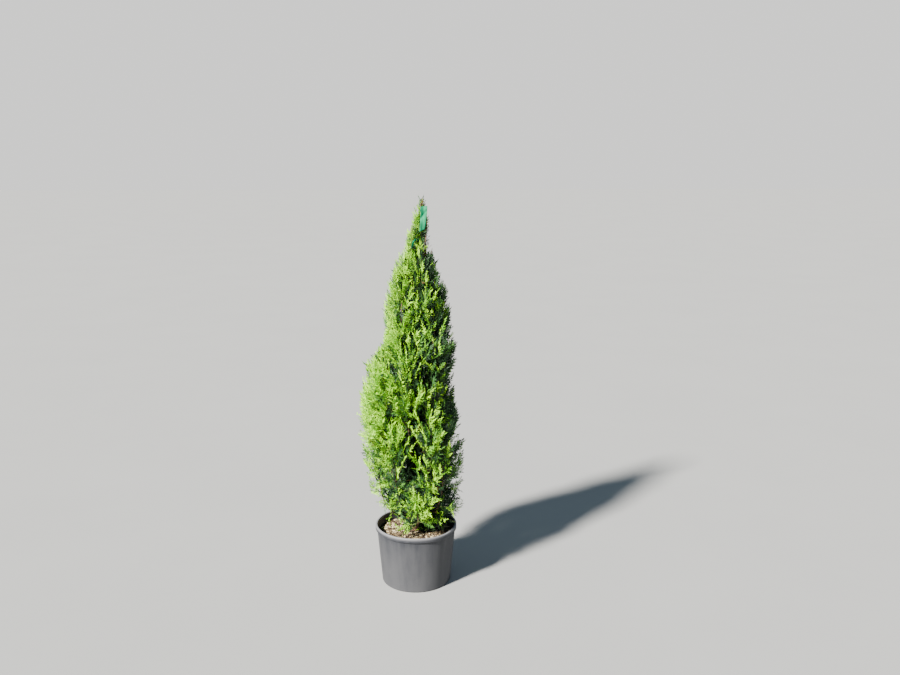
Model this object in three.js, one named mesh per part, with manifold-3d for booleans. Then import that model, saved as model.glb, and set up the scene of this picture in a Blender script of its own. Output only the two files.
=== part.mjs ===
// A potted thuja: a young, narrow evergreen grown in a round nursery can.
// Units are millimetres and +Z is up. The origin is the centre of the can's flat underside.
import * as THREE from "three";
import { mergeVertices } from "three/addons/utils/BufferGeometryUtils.js";
import Module from "manifold-3d";

const wasm = await Module();
wasm.setup();

// Driving dimensions of the can and its filling
const CAN_HEIGHT = 228;
const RIM_RADIUS = 155;
const FOOT_RADIUS = 132;
const WALL = 2.4;
const FLOOR = 3.2;
const LIP_DEPTH = 17;
const LIP_OVERHANG = 5.5;
const FOOT_CHAMFER = 5;
const CAN_SIDES = 36;
const DRAIN_HOLES = 6;
const DRAIN_RADIUS = 9;
const SOIL_TOP = 200;
const SOIL_EDGE_DROP = 7;
const SOIL_FLAT_RADIUS = 45;
const GAP = 0.3;

// Driving dimensions of the plant
const PLANT_TOP = 1468;
const TRUNK_RADIUS = 12;
const TRUNK_TIP_RADIUS = 1.6;
const FLARE_RADIUS = 19;
const FLARE_HEIGHT = 34;
const TRUNK_SIDES = 9;
const TRUNK_RINGS = 14;
const TOP_LEAN = 30;
const MIDDLE_BOW = 30;
const DEPTH_SWAY = 6;
const CROWN_FOOT = SOIL_TOP + 5;
const CROWN_TOP = PLANT_TOP + 25;
const CROWN_RADIUS = 200;
const CROWN_FOOT_RADIUS = 122;
const WIDEST_SHARE = 0.28;
const CROWN_TAPER = 1.65;

// Hollows in the crown's outline, and one swell over the rim: bearing in degrees, height, depth, half height
const HOLLOWS = [
  [180, 290, 46, 75],
  [180, 435, 22, 75],
  [183, 965, 44, 95],
  [2, 745, 34, 150],
  [-8, 1275, 26, 130],
  [0, 255, -36, 95],
  [265, 690, 24, 90],
  [100, 830, 28, 110],
  [62, 520, 24, 90],
  [300, 1030, 22, 80],
  [120, 1160, 20, 80],
];

// The rule by which the limbs grow from the trunk
const SEED = 41;
const MASSES = 29;
const GOLDEN_ANGLE = Math.PI * (3 - Math.sqrt(5));
const GOLDEN_SHARE = (Math.sqrt(5) - 1) / 2;
const CROWDING = 0.6;
const LOW_STRETCH = 1.05;
const HIGH_STRETCH = 2;
const STRETCH_HEIGHT = 500;
const SKIRT_HEIGHT = 260;
const SKIRT_DIP = 95;
const STEM_PLACE = 0.66;
const ELBOW_PLACE = 1.1;
const LOW_ELBOW = -0.1;
const HIGH_ELBOW = 0.34;
const LIMB_RISE = 0.95;
const LIMB_SLOPE = 0.55;
const LOWEST_BOUGH = 26;
const BOUGH_STEP = 6;
const BOUGH_LEAST_REACH = 78;
const BOUGH_SHARE = 0.36;
const BOUGH_RADIUS = 4.6;
const STEM_RADIUS = 2.7;
const TIP_RADIUS = 1.3;

// The rule by which the sprays and the core of a mass grow from its stem
const SPRAYS = 12;
const CROSSINGS = 1;
const TWIG_WIDTH = 1.8;
const SPRAY_THICKNESS = 2;
const SPRAY_SHARE = 0.55;
const SPRAY_WIDTH = 0.7;
const CREST_SHARE = 0.4;
const CREST_WIDTH = 0.6;
const LOW_PITCH = -0.9;
const HIGH_PITCH = 0.75;
const TIP_PITCH = 1.25;
const CORE_SHARE = 0.21;
const CORE_FROM = 0.12;
const CORE_TO = 0.86;
const CORE_STATIONS = 3;
const CORE_SIDES = 4;

// The space that a mass keeps to
const OUTLINE_SLACK = 1.06;
const NEIGHBOUR_GAP = 2.4;
const LIMB_MARGIN = 2;
const SOIL_MARGIN = 4;
const RIBBON_MARGIN = 17;

// The marker ribbon tied to the leader
const RIBBON_WIDTH = 28;
const RIBBON_TAIL = 62;
const RIBBON_LOOP = 24;
const RIBBON_ASIDE = 8;
const RIBBON_THICKNESS = 0.9;
const RIBBON_BAND = 7;
const RIBBON_HEIGHT = 1418;
const RIBBON_STEPS = 14;

const UP = new THREE.Vector3(0, 0, 1);

const MATERIALS = {
  can: new THREE.MeshStandardMaterial({ color: 0x3f4043, roughness: 0.62, metalness: 0 }),
  soil: new THREE.MeshStandardMaterial({ color: 0x5a4433, roughness: 0.95, metalness: 0 }),
  bark: new THREE.MeshStandardMaterial({ color: 0x6d4f3a, roughness: 0.85, metalness: 0 }),
  foliage: new THREE.MeshStandardMaterial({ color: 0x6c9a2b, roughness: 0.6, metalness: 0 }),
  ribbon: new THREE.MeshStandardMaterial({ color: 0x1fb488, roughness: 0.4, metalness: 0 }),
};

// A seeded generator of even random numbers from 0 to 1, the same on every run.
function seededRandom(seed) {
  let state = seed >>> 0;
  return () => {
    state = (Math.imul(state, 1664525) + 1013904223) >>> 0;
    return state / 4294967296;
  };
}

// The trunk and the outline of the crown

// The trunk's centre line: it bows to one side at mid height and leans to the other at its tip.
function trunkAxis(z) {
  const t = THREE.MathUtils.clamp((z - SOIL_TOP) / (PLANT_TOP - SOIL_TOP), 0, 1);
  const x = TOP_LEAN * t ** 2.2 - MIDDLE_BOW * Math.sin(Math.PI * t) * (1 - t);
  return new THREE.Vector3(x, DEPTH_SWAY * Math.sin(2 * Math.PI * t), z);
}

// The trunk's radius: a straight taper, widened into the root flare at the soil.
function trunkRadius(z) {
  const t = THREE.MathUtils.clamp((z - SOIL_TOP) / (PLANT_TOP - SOIL_TOP), 0, 1);
  const flare = (FLARE_RADIUS - TRUNK_RADIUS) * Math.exp((-3 * (z - SOIL_TOP)) / FLARE_HEIGHT);
  return THREE.MathUtils.lerp(TRUNK_RADIUS, TRUNK_TIP_RADIUS, t) + flare;
}

// The crown's radius about the trunk: it swells from the foot to its widest, then tapers to the top.
function crownRadius(z) {
  const t = THREE.MathUtils.clamp((z - CROWN_FOOT) / (CROWN_TOP - CROWN_FOOT), 0, 1);
  if (t < WIDEST_SHARE) {
    const below = (WIDEST_SHARE - t) / WIDEST_SHARE;
    return CROWN_RADIUS - (CROWN_RADIUS - CROWN_FOOT_RADIUS) * below ** 2.2;
  }
  const above = (t - WIDEST_SHARE) / (1 - WIDEST_SHARE);
  return CROWN_RADIUS * (1 - above ** CROWN_TAPER);
}

// The crown's reach on a bearing: its radius with some slack, less what the hollows take at that place.
function crownReach(z, bearing) {
  return HOLLOWS.reduce((reach, [side, height, depth, half]) => {
    const upright = Math.max(0, 1 - ((z - height) / half) ** 2);
    const level = Math.max(0, Math.cos(bearing - THREE.MathUtils.degToRad(side))) ** 2;
    return reach - depth * upright * level;
  }, crownRadius(z) * OUTLINE_SLACK);
}

// From 0 at the crown's foot, where limbs spread and hang, to 1 above the skirt, where they rise.
function aboveSkirt(z) {
  return THREE.MathUtils.clamp((z - CROWN_FOOT) / SKIRT_HEIGHT, 0, 1);
}

// A point at a distance and a bearing from the trunk's centre line.
function aroundTrunk(radius, bearing, z) {
  const p = trunkAxis(z);
  return p.add(new THREE.Vector3(radius * Math.cos(bearing), radius * Math.sin(bearing), 0));
}

// Solids from three.js geometry

// A closed geometry as a manifold solid.
function solidFrom(geometry) {
  const bare = new THREE.BufferGeometry();
  const flat = geometry.index ? geometry.toNonIndexed() : geometry;
  bare.setAttribute("position", flat.getAttribute("position"));
  const merged = mergeVertices(bare, 1e-3);
  return new wasm.Manifold(
    new wasm.Mesh({
      numProp: 3,
      vertProperties: merged.getAttribute("position").array,
      triVerts: new Uint32Array(merged.index.array),
    }),
  );
}

// A manifold solid as a named mesh. Loose scraps and sealed hollows are dropped: its largest body stays.
function meshFrom(name, solid, material) {
  const bodies = solid.decompose().sort((a, b) => b.volume() - a.volume());
  const { numProp, numVert, vertProperties, triVerts } = bodies[0].getMesh();
  const points = new Float32Array(numVert * 3);
  for (let i = 0; i < numVert; i++) {
    points.set(vertProperties.subarray(i * numProp, i * numProp + 3), i * 3);
  }
  const geometry = new THREE.BufferGeometry();
  geometry.setAttribute("position", new THREE.BufferAttribute(points, 3));
  geometry.setIndex(new THREE.BufferAttribute(triVerts, 1));
  geometry.computeVertexNormals();
  return namedMesh(name, geometry, material);
}

function namedMesh(name, geometry, material) {
  const mesh = new THREE.Mesh(geometry, material);
  mesh.name = name;
  return mesh;
}

// A profile of [radius, height] pairs turned about the Z axis.
function turned(profile, sides) {
  const points = profile.map(([r, z]) => new THREE.Vector2(r, z));
  return new THREE.LatheGeometry(points, sides).rotateX(Math.PI / 2);
}

// A closed tube of changing radius along a path, each ring square to its direction, with flat ends.
function taperedTube({ path, radii, directions }, sides) {
  const corners = [];
  let across = new THREE.Vector3(1, 0, 0);
  path.forEach((centre, i) => {
    const along = directions[i];
    if (i === 0 && Math.abs(along.dot(across)) > 0.9) across = new THREE.Vector3(0, 1, 0);
    across.addScaledVector(along, -across.dot(along)).normalize();
    const beside = along.clone().cross(across);
    for (let k = 0; k < sides; k++) {
      const angle = (2 * Math.PI * k) / sides;
      const corner = centre.clone().addScaledVector(across, radii[i] * Math.cos(angle));
      corners.push(corner.addScaledVector(beside, radii[i] * Math.sin(angle)));
    }
  });
  const faces = [];
  for (let i = 0; i < path.length - 1; i++) {
    for (let k = 0; k < sides; k++) {
      const [a, b] = [i * sides + k, i * sides + ((k + 1) % sides)];
      faces.push(a, b, b + sides, a, b + sides, a + sides);
    }
  }
  const last = (path.length - 1) * sides;
  for (let k = 1; k < sides - 1; k++) {
    faces.push(0, k + 1, k, last, last + k, last + k + 1);
  }
  const geometry = new THREE.BufferGeometry().setFromPoints(corners);
  geometry.setIndex(faces);
  return geometry;
}

// The can, its soil and the trunk

// The can: a tapered shell with a chamfered foot, a rolled lip and drain holes through its floor.
function canMesh() {
  const wallTop = RIM_RADIUS - LIP_OVERHANG;
  const lipFoot = CAN_HEIGHT - LIP_DEPTH;
  const shell = turned(
    [
      [0, 0],
      [FOOT_RADIUS - FOOT_CHAMFER, 0],
      [FOOT_RADIUS, FOOT_CHAMFER],
      [wallTop, lipFoot],
      [RIM_RADIUS - 1.2, lipFoot - 1],
      [RIM_RADIUS, lipFoot + 1.5],
      [RIM_RADIUS, CAN_HEIGHT - 3],
      [RIM_RADIUS - 2.5, CAN_HEIGHT],
      [wallTop - WALL + 1, CAN_HEIGHT],
      [wallTop - WALL, CAN_HEIGHT - 2.5],
      [FOOT_RADIUS - WALL, FLOOR + FOOT_CHAMFER],
      [FOOT_RADIUS - FOOT_CHAMFER, FLOOR],
      [0, FLOOR],
    ],
    CAN_SIDES,
  );
  let can = solidFrom(shell);
  for (let i = 0; i < DRAIN_HOLES; i++) {
    const bearing = (2 * Math.PI * (i + 0.5)) / DRAIN_HOLES;
    const drill = new THREE.CylinderGeometry(DRAIN_RADIUS, DRAIN_RADIUS, 4 * FLOOR, 8);
    drill.rotateX(Math.PI / 2);
    const out = FOOT_RADIUS - FOOT_CHAMFER - 2 * DRAIN_RADIUS;
    drill.translate(out * Math.cos(bearing), out * Math.sin(bearing), FLOOR / 2);
    can = can.subtract(solidFrom(drill));
  }
  return meshFrom("can", can, MATERIALS.can);
}

// The can's inner radius at a height between its floor and its rim.
function canInside(z) {
  const share = (z - FLOOR - FOOT_CHAMFER) / (CAN_HEIGHT - FLOOR - FOOT_CHAMFER);
  return THREE.MathUtils.lerp(FOOT_RADIUS - WALL, RIM_RADIUS - LIP_OVERHANG - WALL, share);
}

// The root ball and its mulch: level round the trunk, and a little lower at the can's wall.
function soilMesh() {
  const edge = SOIL_TOP - SOIL_EDGE_DROP;
  const profile = [
    [0, FLOOR + GAP],
    [FOOT_RADIUS - FOOT_CHAMFER - GAP, FLOOR + GAP],
    [canInside(FLOOR + FOOT_CHAMFER) - 2 * GAP, FLOOR + FOOT_CHAMFER + GAP],
    [canInside(edge) - 2 * GAP, edge],
    [SOIL_FLAT_RADIUS, SOIL_TOP],
    [0, SOIL_TOP],
  ];
  return namedMesh("soil", turned(profile, CAN_SIDES / 2), MATERIALS.soil);
}

// The trunk from a level cut on the soil to the leader's tip, fatter by extra where limbs are cut against it.
function trunkSolid(extra = 0) {
  const foot = SOIL_TOP + GAP;
  const heights = Array.from({ length: TRUNK_RINGS + 1 }, (_, i) =>
    THREE.MathUtils.lerp(foot, PLANT_TOP - 6, (i / TRUNK_RINGS) ** 1.25),
  );
  const path = heights.map((z) => trunkAxis(z));
  const radii = heights.map((z) => trunkRadius(z) + extra);
  const directions = heights.map(() => UP);
  return solidFrom(taperedTube({ path, radii, directions }, TRUNK_SIDES));
}

// The limbs: where each leaves the trunk, and the curve that it follows to its tip

// Heights that share out the masses over the crown, with more of them where it is narrow.
function heightsOfMasses() {
  const step = 2;
  const steps = Math.floor((PLANT_TOP - CROWN_FOOT) / step);
  const sums = [0];
  for (let i = 0; i < steps; i++) {
    sums.push(sums[i] + crownRadius(CROWN_FOOT + (i + 0.5) * step) ** CROWDING);
  }
  const total = sums[steps];
  return Array.from({ length: MASSES }, (_, i) => {
    const at = sums.findIndex((sum) => sum >= ((i + 0.5) / MASSES) * total);
    const z = CROWN_FOOT + at * step;
    const spacing = (total / MASSES / crownRadius(z) ** CROWDING) * step;
    const above = Math.min(1, (z - CROWN_FOOT) / STRETCH_HEIGHT);
    const stretch = THREE.MathUtils.lerp(LOW_STRETCH, HIGH_STRETCH, above);
    const plume = stretch * Math.sqrt(2 * Math.PI * crownRadius(z) * spacing);
    return { z, plume };
  });
}

// One limb for each mass. The bough is the curve's first stretch and the mass's stem is the rest.
// The last mass is the tuft above the marker ribbon.
function planLimbs(random) {
  return heightsOfMasses().map(({ z, plume }, i) => {
    const isTuft = i === MASSES - 1;
    const bearing = i * GOLDEN_ANGLE + (random() - 0.5) * 0.3;
    const dip = (SKIRT_DIP * (PLANT_TOP - z)) / (PLANT_TOP - CROWN_FOOT);
    const tipHeight = isTuft ? PLANT_TOP - 16 : Math.min(z + plume * 0.5 - dip, RIBBON_HEIGHT - 22);
    const reach = crownRadius(tipHeight) * STEM_PLACE;
    const lowest = isTuft ? RIBBON_HEIGHT + 9 : SOIL_TOP + LOWEST_BOUGH + BOUGH_STEP * i;
    const footHeight = Math.max(tipHeight - plume * LIMB_RISE - reach * LIMB_SLOPE, lowest);
    const rise = tipHeight - footHeight;
    const elbowShare = THREE.MathUtils.lerp(LOW_ELBOW, HIGH_ELBOW, aboveSkirt(footHeight));
    const elbow = footHeight + rise * elbowShare;
    const curve = new THREE.QuadraticBezierCurve3(
      trunkAxis(footHeight),
      aroundTrunk(reach * ELBOW_PLACE, bearing, elbow),
      aroundTrunk(reach, bearing + (random() - 0.5) * 0.25, tipHeight),
    );
    const hasBough = crownRadius(z) > BOUGH_LEAST_REACH;
    return { index: i, bearing, plume, curve, hasBough, boughShare: hasBough ? BOUGH_SHARE : 0 };
  });
}

// A stretch of a limb for a tube, from share a to share b of its curve.
function stretchOf(limb, a, b, steps) {
  const shares = Array.from({ length: steps + 1 }, (_, i) => THREE.MathUtils.lerp(a, b, i / steps));
  return {
    path: shares.map((s) => limb.curve.getPoint(s)),
    radii: shares.map((s) => limbRadius(limb, s)),
    directions: shares.map((s) => limb.curve.getTangent(s)),
  };
}

// The share of the curve at which a mass's stem begins: a small gap beyond its bough's tip.
function stemStart(limb) {
  if (!limb.hasBough) return 0;
  const tip = limb.curve.getPoint(limb.boughShare);
  let s = limb.boughShare;
  while (limb.curve.getPoint(s).distanceTo(tip) < GAP) s += 1e-4;
  return s;
}

// A limb's radius: it tapers from the trunk to where the mass begins, and from there to its tip.
function limbRadius(limb, s) {
  const entry = limb.boughShare;
  if (s < entry) return THREE.MathUtils.lerp(BOUGH_RADIUS, STEM_RADIUS, s / entry);
  return THREE.MathUtils.lerp(STEM_RADIUS, TIP_RADIUS, (s - entry) / (1 - entry));
}

function boughMesh(limb, fatTrunk) {
  const stretch = stretchOf(limb, 0, limb.boughShare, 3);
  const bough = solidFrom(taperedTube(stretch, 5)).subtract(fatTrunk);
  return meshFrom(`bough_${limb.index + 1}`, bough, MATERIALS.bark);
}

// The space that each mass keeps to

function nearest(point, samples) {
  return samples.reduce((least, s) => Math.min(least, s.distanceTo(point)), Infinity);
}

// Whether a point lies in a mass's own space: inside the crown, above the soil and the can's rim,
// nearer to its own stem than to any other, and clear of the trunk, the boughs and the ribbon.
function inSpace(point, limb, plan, inCore = false) {
  const axis = trunkAxis(point.z);
  const fromTrunk = Math.hypot(point.x - axis.x, point.y - axis.y);
  const bearing = Math.atan2(point.y - axis.y, point.x - axis.x);
  if (fromTrunk > crownReach(point.z, bearing) || point.z > PLANT_TOP) return false;
  const floor = Math.hypot(point.x, point.y) > canInside(CAN_HEIGHT) - 6 ? CAN_HEIGHT : SOIL_TOP;
  if (point.z < floor + SOIL_MARGIN) return false;
  if (fromTrunk < trunkRadius(point.z) + LIMB_MARGIN) return false;
  if (nearest(point, plan.ribbon) < RIBBON_MARGIN) return false;
  const own = nearest(point, limb.samples);
  for (const other of plan.limbs) {
    if (other !== limb && nearest(point, other.samples) < own + NEIGHBOUR_GAP) return false;
    const clear = BOUGH_RADIUS + LIMB_MARGIN;
    if (nearest(point, other.boughSamples) < (inCore ? 1.6 * clear : clear)) return false;
  }
  return true;
}

// The masses of foliage

// A spray's outline in its own plane: a fan that widens from its twig, with two pairs of teeth and a point.
function sprayShape(length, width) {
  const side = [
    [0, TWIG_WIDTH / width],
    [0.44, 0.5],
    [0.54, 0.24],
    [0.8, 0.36],
  ];
  const outline = [...side, [1, 0], ...side.map(([along, out]) => [along, -out]).reverse()];
  return new THREE.Shape(outline.map(([along, out]) => new THREE.Vector2(along * length, -out * width)));
}

// A flat toothed blade that starts at a point, runs along a direction and faces a normal.
function sprayGeometry(start, along, facing, length, width) {
  const blade = new THREE.ExtrudeGeometry(sprayShape(length, width), {
    depth: SPRAY_THICKNESS,
    bevelEnabled: false,
  });
  blade.translate(0, 0, -SPRAY_THICKNESS / 2);
  const normal = facing.clone().addScaledVector(along, -facing.dot(along)).normalize();
  const across = normal.clone().cross(along);
  const placed = new THREE.Matrix4().makeBasis(along, across, normal).setPosition(start);
  return blade.applyMatrix4(placed);
}

// Whether every corner of a spray lies in the space of its mass.
function keepsToSpace(spray, limb, plan) {
  const at = spray.getAttribute("position");
  for (let i = 0; i < at.count; i++) {
    if (!inSpace(new THREE.Vector3().fromBufferAttribute(at, i), limb, plan)) return false;
  }
  return true;
}

// The smaller core of a dense mass: a spindle round its stem that stays inside its space.
function coreSolid(limb, plan) {
  const entry = limb.boughShare;
  const from = THREE.MathUtils.lerp(entry, 1, CORE_FROM);
  const to = THREE.MathUtils.lerp(entry, 1, CORE_TO);
  const core = stretchOf(limb, from, to, CORE_STATIONS);
  core.radii = core.radii.map((stem, i) => {
    const swell = Math.sin(Math.PI * THREE.MathUtils.lerp(0.14, 0.86, i / CORE_STATIONS));
    let radius = CORE_SHARE * limb.plume * swell;
    while (radius > stem && !roundFits(core.path[i], radius, limb, plan)) radius *= 0.9;
    return Math.max(radius, stem + 0.4);
  });
  return solidFrom(taperedTube(core, CORE_SIDES));
}

// Whether points all round a centre, at a radius from it, lie in a mass's space.
function roundFits(centre, radius, limb, plan) {
  for (let k = 0; k < 12; k++) {
    const turn = (Math.PI * k) / 6;
    for (const tilt of [-0.7, 0, 0.7]) {
      const offset = new THREE.Vector3(
        Math.cos(turn) * Math.cos(tilt),
        Math.sin(turn) * Math.cos(tilt),
        Math.sin(tilt),
      );
      if (!inSpace(centre.clone().addScaledVector(offset, radius), limb, plan, true)) return false;
    }
  }
  return true;
}

// How steeply a twig rises: near the soil the first twigs of a mass hang out, and further up all rise.
function twigPitch(root, share) {
  const first = THREE.MathUtils.lerp(LOW_PITCH, HIGH_PITCH, aboveSkirt(root.z));
  return THREE.MathUtils.lerp(first, TIP_PITCH, share ** 2);
}

// A spray that leaves the stem at a share of its length and a side, or nothing if none has room there.
// It shrinks until it keeps to the mass's space and crosses hardly any of the sprays before it.
function sprayAt(limb, plan, share, side, others, random) {
  const s = THREE.MathUtils.lerp(limb.boughShare, 1, share);
  const root = limb.curve.getPoint(s);
  const outward = root.clone().sub(trunkAxis(root.z)).setZ(0).normalize();
  const sideways = new THREE.Vector3().crossVectors(UP, outward);
  const away = outward.clone().multiplyScalar(Math.cos(side)).addScaledVector(sideways, Math.sin(side));
  const pitch = twigPitch(root, share) + (random() - 0.5) * 0.3;
  const heading = away.clone().multiplyScalar(Math.cos(pitch)).addScaledVector(UP, Math.sin(pitch));
  const rising = heading.clone().lerp(UP, 0.1).normalize();
  const facing = new THREE.Vector3().crossVectors(UP, away);
  const full = limb.plume * SPRAY_SHARE * (0.85 + 0.3 * random());
  for (let size = full; size > full * 0.4; size *= 0.92) {
    const spray = sprayGeometry(root, rising, facing, size, size * SPRAY_WIDTH);
    if (!keepsToSpace(spray, limb, plan)) continue;
    const solid = solidFrom(spray);
    const crossed = others.filter((other) => !other.intersect(solid).isEmpty());
    if (crossed.length <= CROSSINGS) return solid;
  }
  return null;
}

// The spray at the very tip of a mass's stem, as large as its space allows, or none.
function crestSpray(limb, plan) {
  const along = limb.curve.getTangent(1).lerp(UP, 0.4).normalize();
  const root = limb.curve.getPoint(1).addScaledVector(along, -2 * TIP_RADIUS);
  const facing = new THREE.Vector3(-Math.sin(limb.bearing), Math.cos(limb.bearing), 0.2);
  for (let size = limb.plume * CREST_SHARE; size > limb.plume * 0.1; size *= 0.92) {
    const crest = sprayGeometry(root, along, facing, size, size * CREST_WIDTH);
    if (keepsToSpace(crest, limb, plan)) return [solidFrom(crest)];
  }
  return [];
}

// One mass: its stem, its core and the sprays on their twigs, fused into one solid.
function massMesh(limb, plan, fatTrunk, random) {
  const stem = solidFrom(taperedTube(stretchOf(limb, stemStart(limb), 1, 6), 4));
  const sprays = [];
  const phase = random();
  for (let k = 0; k < SPRAYS; k++) {
    const share = 0.04 + (0.9 * (k + 0.3 * random())) / (SPRAYS - 0.4);
    const side = 2 * Math.PI * (phase + k * GOLDEN_SHARE);
    const choices = [0, 1, 2]
      .map((turn) => sprayAt(limb, plan, share, side + (2 * Math.PI * turn) / 3, sprays, random))
      .filter((spray) => spray)
      .sort((a, b) => b.volume() - a.volume());
    if (choices.length) sprays.push(choices[0]);
  }
  const parts = [stem, coreSolid(limb, plan), ...sprays, ...crestSpray(limb, plan)];
  const fused = wasm.Manifold.union(parts).subtract(fatTrunk);
  return meshFrom(`mass_${limb.index + 1}`, fused, MATERIALS.foliage);
}

// The marker ribbon: a band round the leader with one tail that hangs down the front.

// The middle line of the ribbon's tail, a little to one side of the leader: forward from it, up into a
// fold that stands above the knot, over and down.
function ribbonPath() {
  const knot = trunkAxis(RIBBON_HEIGHT);
  const out = trunkRadius(RIBBON_HEIGHT) + 1;
  const steps = [
    [0, 0],
    [13, RIBBON_LOOP * 0.25],
    [22, RIBBON_LOOP * 0.83],
    [28, RIBBON_LOOP],
    [33, RIBBON_LOOP * 0.5],
    [37, -RIBBON_TAIL * 0.35],
    [40, -RIBBON_TAIL],
  ];
  const x = knot.x + RIBBON_ASIDE;
  return steps.map(([forward, rise]) => new THREE.Vector3(x, knot.y - out - forward, knot.z + rise));
}

function ribbonMesh() {
  const curve = new THREE.CatmullRomCurve3(ribbonPath());
  const knot = trunkAxis(RIBBON_HEIGHT);
  const inner = [];
  const outer = [];
  for (let i = 0; i <= RIBBON_STEPS; i++) {
    const p = curve.getPoint(i / RIBBON_STEPS);
    const along = curve.getTangent(i / RIBBON_STEPS);
    const out = new THREE.Vector2(along.z, -along.y).setLength(RIBBON_THICKNESS / 2);
    inner.push(new THREE.Vector2(p.y + out.x, p.z + out.y));
    outer.push(new THREE.Vector2(p.y - out.x, p.z - out.y));
  }
  const section = new THREE.Shape([...inner, ...outer.reverse()]);
  const tail = new THREE.ExtrudeGeometry(section, { depth: RIBBON_WIDTH, bevelEnabled: false });
  const axes = [new THREE.Vector3(0, 1, 0), new THREE.Vector3(0, 0, 1), new THREE.Vector3(1, 0, 0)];
  tail.applyMatrix4(new THREE.Matrix4().makeBasis(...axes));
  tail.translate(knot.x + RIBBON_ASIDE - RIBBON_WIDTH / 2, 0, 0);
  const bandRadius = trunkRadius(RIBBON_HEIGHT) + 2;
  const band = new THREE.CylinderGeometry(bandRadius, bandRadius, RIBBON_BAND, 12);
  band.rotateX(Math.PI / 2).translate(knot.x, knot.y, knot.z);
  const solid = solidFrom(tail).add(solidFrom(band)).subtract(trunkSolid(GAP));
  return meshFrom("marker_ribbon", solid, MATERIALS.ribbon);
}

// The whole plant

const random = seededRandom(SEED);
const limbs = planLimbs(random);
for (const limb of limbs) {
  limb.samples = stretchOf(limb, limb.boughShare, 1, 14).path;
  limb.boughSamples = limb.hasBough ? stretchOf(limb, 0.04, limb.boughShare, 10).path : [];
}
const plan = { limbs, ribbon: new THREE.CatmullRomCurve3(ribbonPath()).getPoints(12) };
const fatTrunk = trunkSolid(GAP);

const pottedThuja = new THREE.Group();
pottedThuja.add(canMesh(), soilMesh());
pottedThuja.add(meshFrom("trunk", trunkSolid(), MATERIALS.bark));
for (const limb of limbs) {
  if (limb.hasBough) pottedThuja.add(boughMesh(limb, fatTrunk));
  pottedThuja.add(massMesh(limb, plan, fatTrunk, random));
}
pottedThuja.add(ribbonMesh());

export default pottedThuja;
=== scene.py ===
import math

import bmesh
import bpy
import numpy as np
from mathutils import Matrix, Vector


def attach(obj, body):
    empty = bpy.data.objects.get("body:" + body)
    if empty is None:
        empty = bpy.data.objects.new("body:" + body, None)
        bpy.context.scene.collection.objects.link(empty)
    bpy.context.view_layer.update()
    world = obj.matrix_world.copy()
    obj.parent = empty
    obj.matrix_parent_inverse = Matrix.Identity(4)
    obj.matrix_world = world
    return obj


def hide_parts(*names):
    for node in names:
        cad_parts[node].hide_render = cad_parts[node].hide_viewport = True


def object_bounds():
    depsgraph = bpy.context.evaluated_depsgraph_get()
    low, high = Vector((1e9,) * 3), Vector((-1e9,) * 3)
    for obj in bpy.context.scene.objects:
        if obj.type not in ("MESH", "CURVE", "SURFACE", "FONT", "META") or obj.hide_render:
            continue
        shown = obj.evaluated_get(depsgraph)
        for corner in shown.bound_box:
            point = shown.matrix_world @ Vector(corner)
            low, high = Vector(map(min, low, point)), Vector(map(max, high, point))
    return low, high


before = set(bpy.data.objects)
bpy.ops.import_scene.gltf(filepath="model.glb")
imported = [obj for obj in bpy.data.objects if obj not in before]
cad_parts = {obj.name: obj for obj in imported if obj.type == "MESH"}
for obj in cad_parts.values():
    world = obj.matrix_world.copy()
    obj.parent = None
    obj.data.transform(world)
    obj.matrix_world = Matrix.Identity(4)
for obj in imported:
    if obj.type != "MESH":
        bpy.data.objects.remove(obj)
cad_low, cad_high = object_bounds()

# Sizes are in millimetres, as in the plant's own measurements, and a mesh is scaled to metres as it is made.


# The can.
# A round nursery can of dark grey polypropylene, moulded in one piece with a rolled lip and a thin floor
# that has six drain holes. Seasons outdoors have left it dusty, scuffed and faintly streaked by rain.
MILLIMETRE = 0.001
NOISE_NUMBERS = 4096
NOISE_PRIMES = (73856093, 19349663, 83492791)
CAN_HEIGHT = 228.0
RIM_RADIUS = 155.0
FOOT_RADIUS = 132.0
WALL = 2.4
CAN_FLOOR = 3.2
LIP_DEPTH = 17.0
LIP_OVERHANG = 5.5
FOOT_CORNER = 5
FLOOR_CORNER = 4
LIP_CORNER = 4
INNER_CORNER = 2.6
LIP_FOOT_CORNER = 1.8
LIP_FILLET = 1.6
AXIS_GAP = 0.01
CAN_COLUMNS = 160
CAN_OVAL = 1.1
DENT_DEPTH = 0.9
DENT_SIZE = (70, 70, 90)
RIM_SAG = 0.7
DRAIN_HOLES = 6
DRAIN_RADIUS = 9.0
DRAIN_SIDES = 28
DRILL_FOOT = -5
DRILL_TOP = 9
BLACK = (0, 0, 0, 1)
WHITE = (1, 1, 1, 1)
EVEN = (1, 1, 1)
CAN_PLASTIC = (0.022, 0.024, 0.031, 1)
CAN_DUST = (0.066, 0.067, 0.073, 1)
# Pale scuff colour, which also paints a highlight on the lip's top edge.
LIP_SCUFF_AND_HIGHLIGHT = (0.23, 0.228, 0.245, 1)


def soft_noise(points, cell, seed):
    """Value noise from -1 to 1: each corner of a lattice of cells has a fixed random number, and a point
    gets the smooth blend of the numbers at the eight corners round it."""
    table = np.random.default_rng(seed).uniform(-1, 1, NOISE_NUMBERS)
    scaled = points / np.asarray(cell, float)
    base = np.floor(scaled).astype(np.int64)
    part = scaled - base
    part = part * part * (3 - 2 * part)
    total = 0
    for corner in np.ndindex(2, 2, 2):
        x, y, z = np.moveaxis((base + corner) * NOISE_PRIMES, -1, 0)
        number = table[(x ^ y ^ z) % NOISE_NUMBERS]
        total = total + number * np.prod(np.where(np.array(corner, bool), part, 1 - part), axis=-1)
    return total


def round_corner(centre, radius, start, end, steps):
    """Points [r, z] on an arc: the centre plus the radius times the cosine and sine of even angles."""
    angles = np.radians(np.linspace(start, end, steps))
    return np.stack([centre[0] + radius * np.cos(angles), centre[1] + radius * np.sin(angles)], -1)


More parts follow.
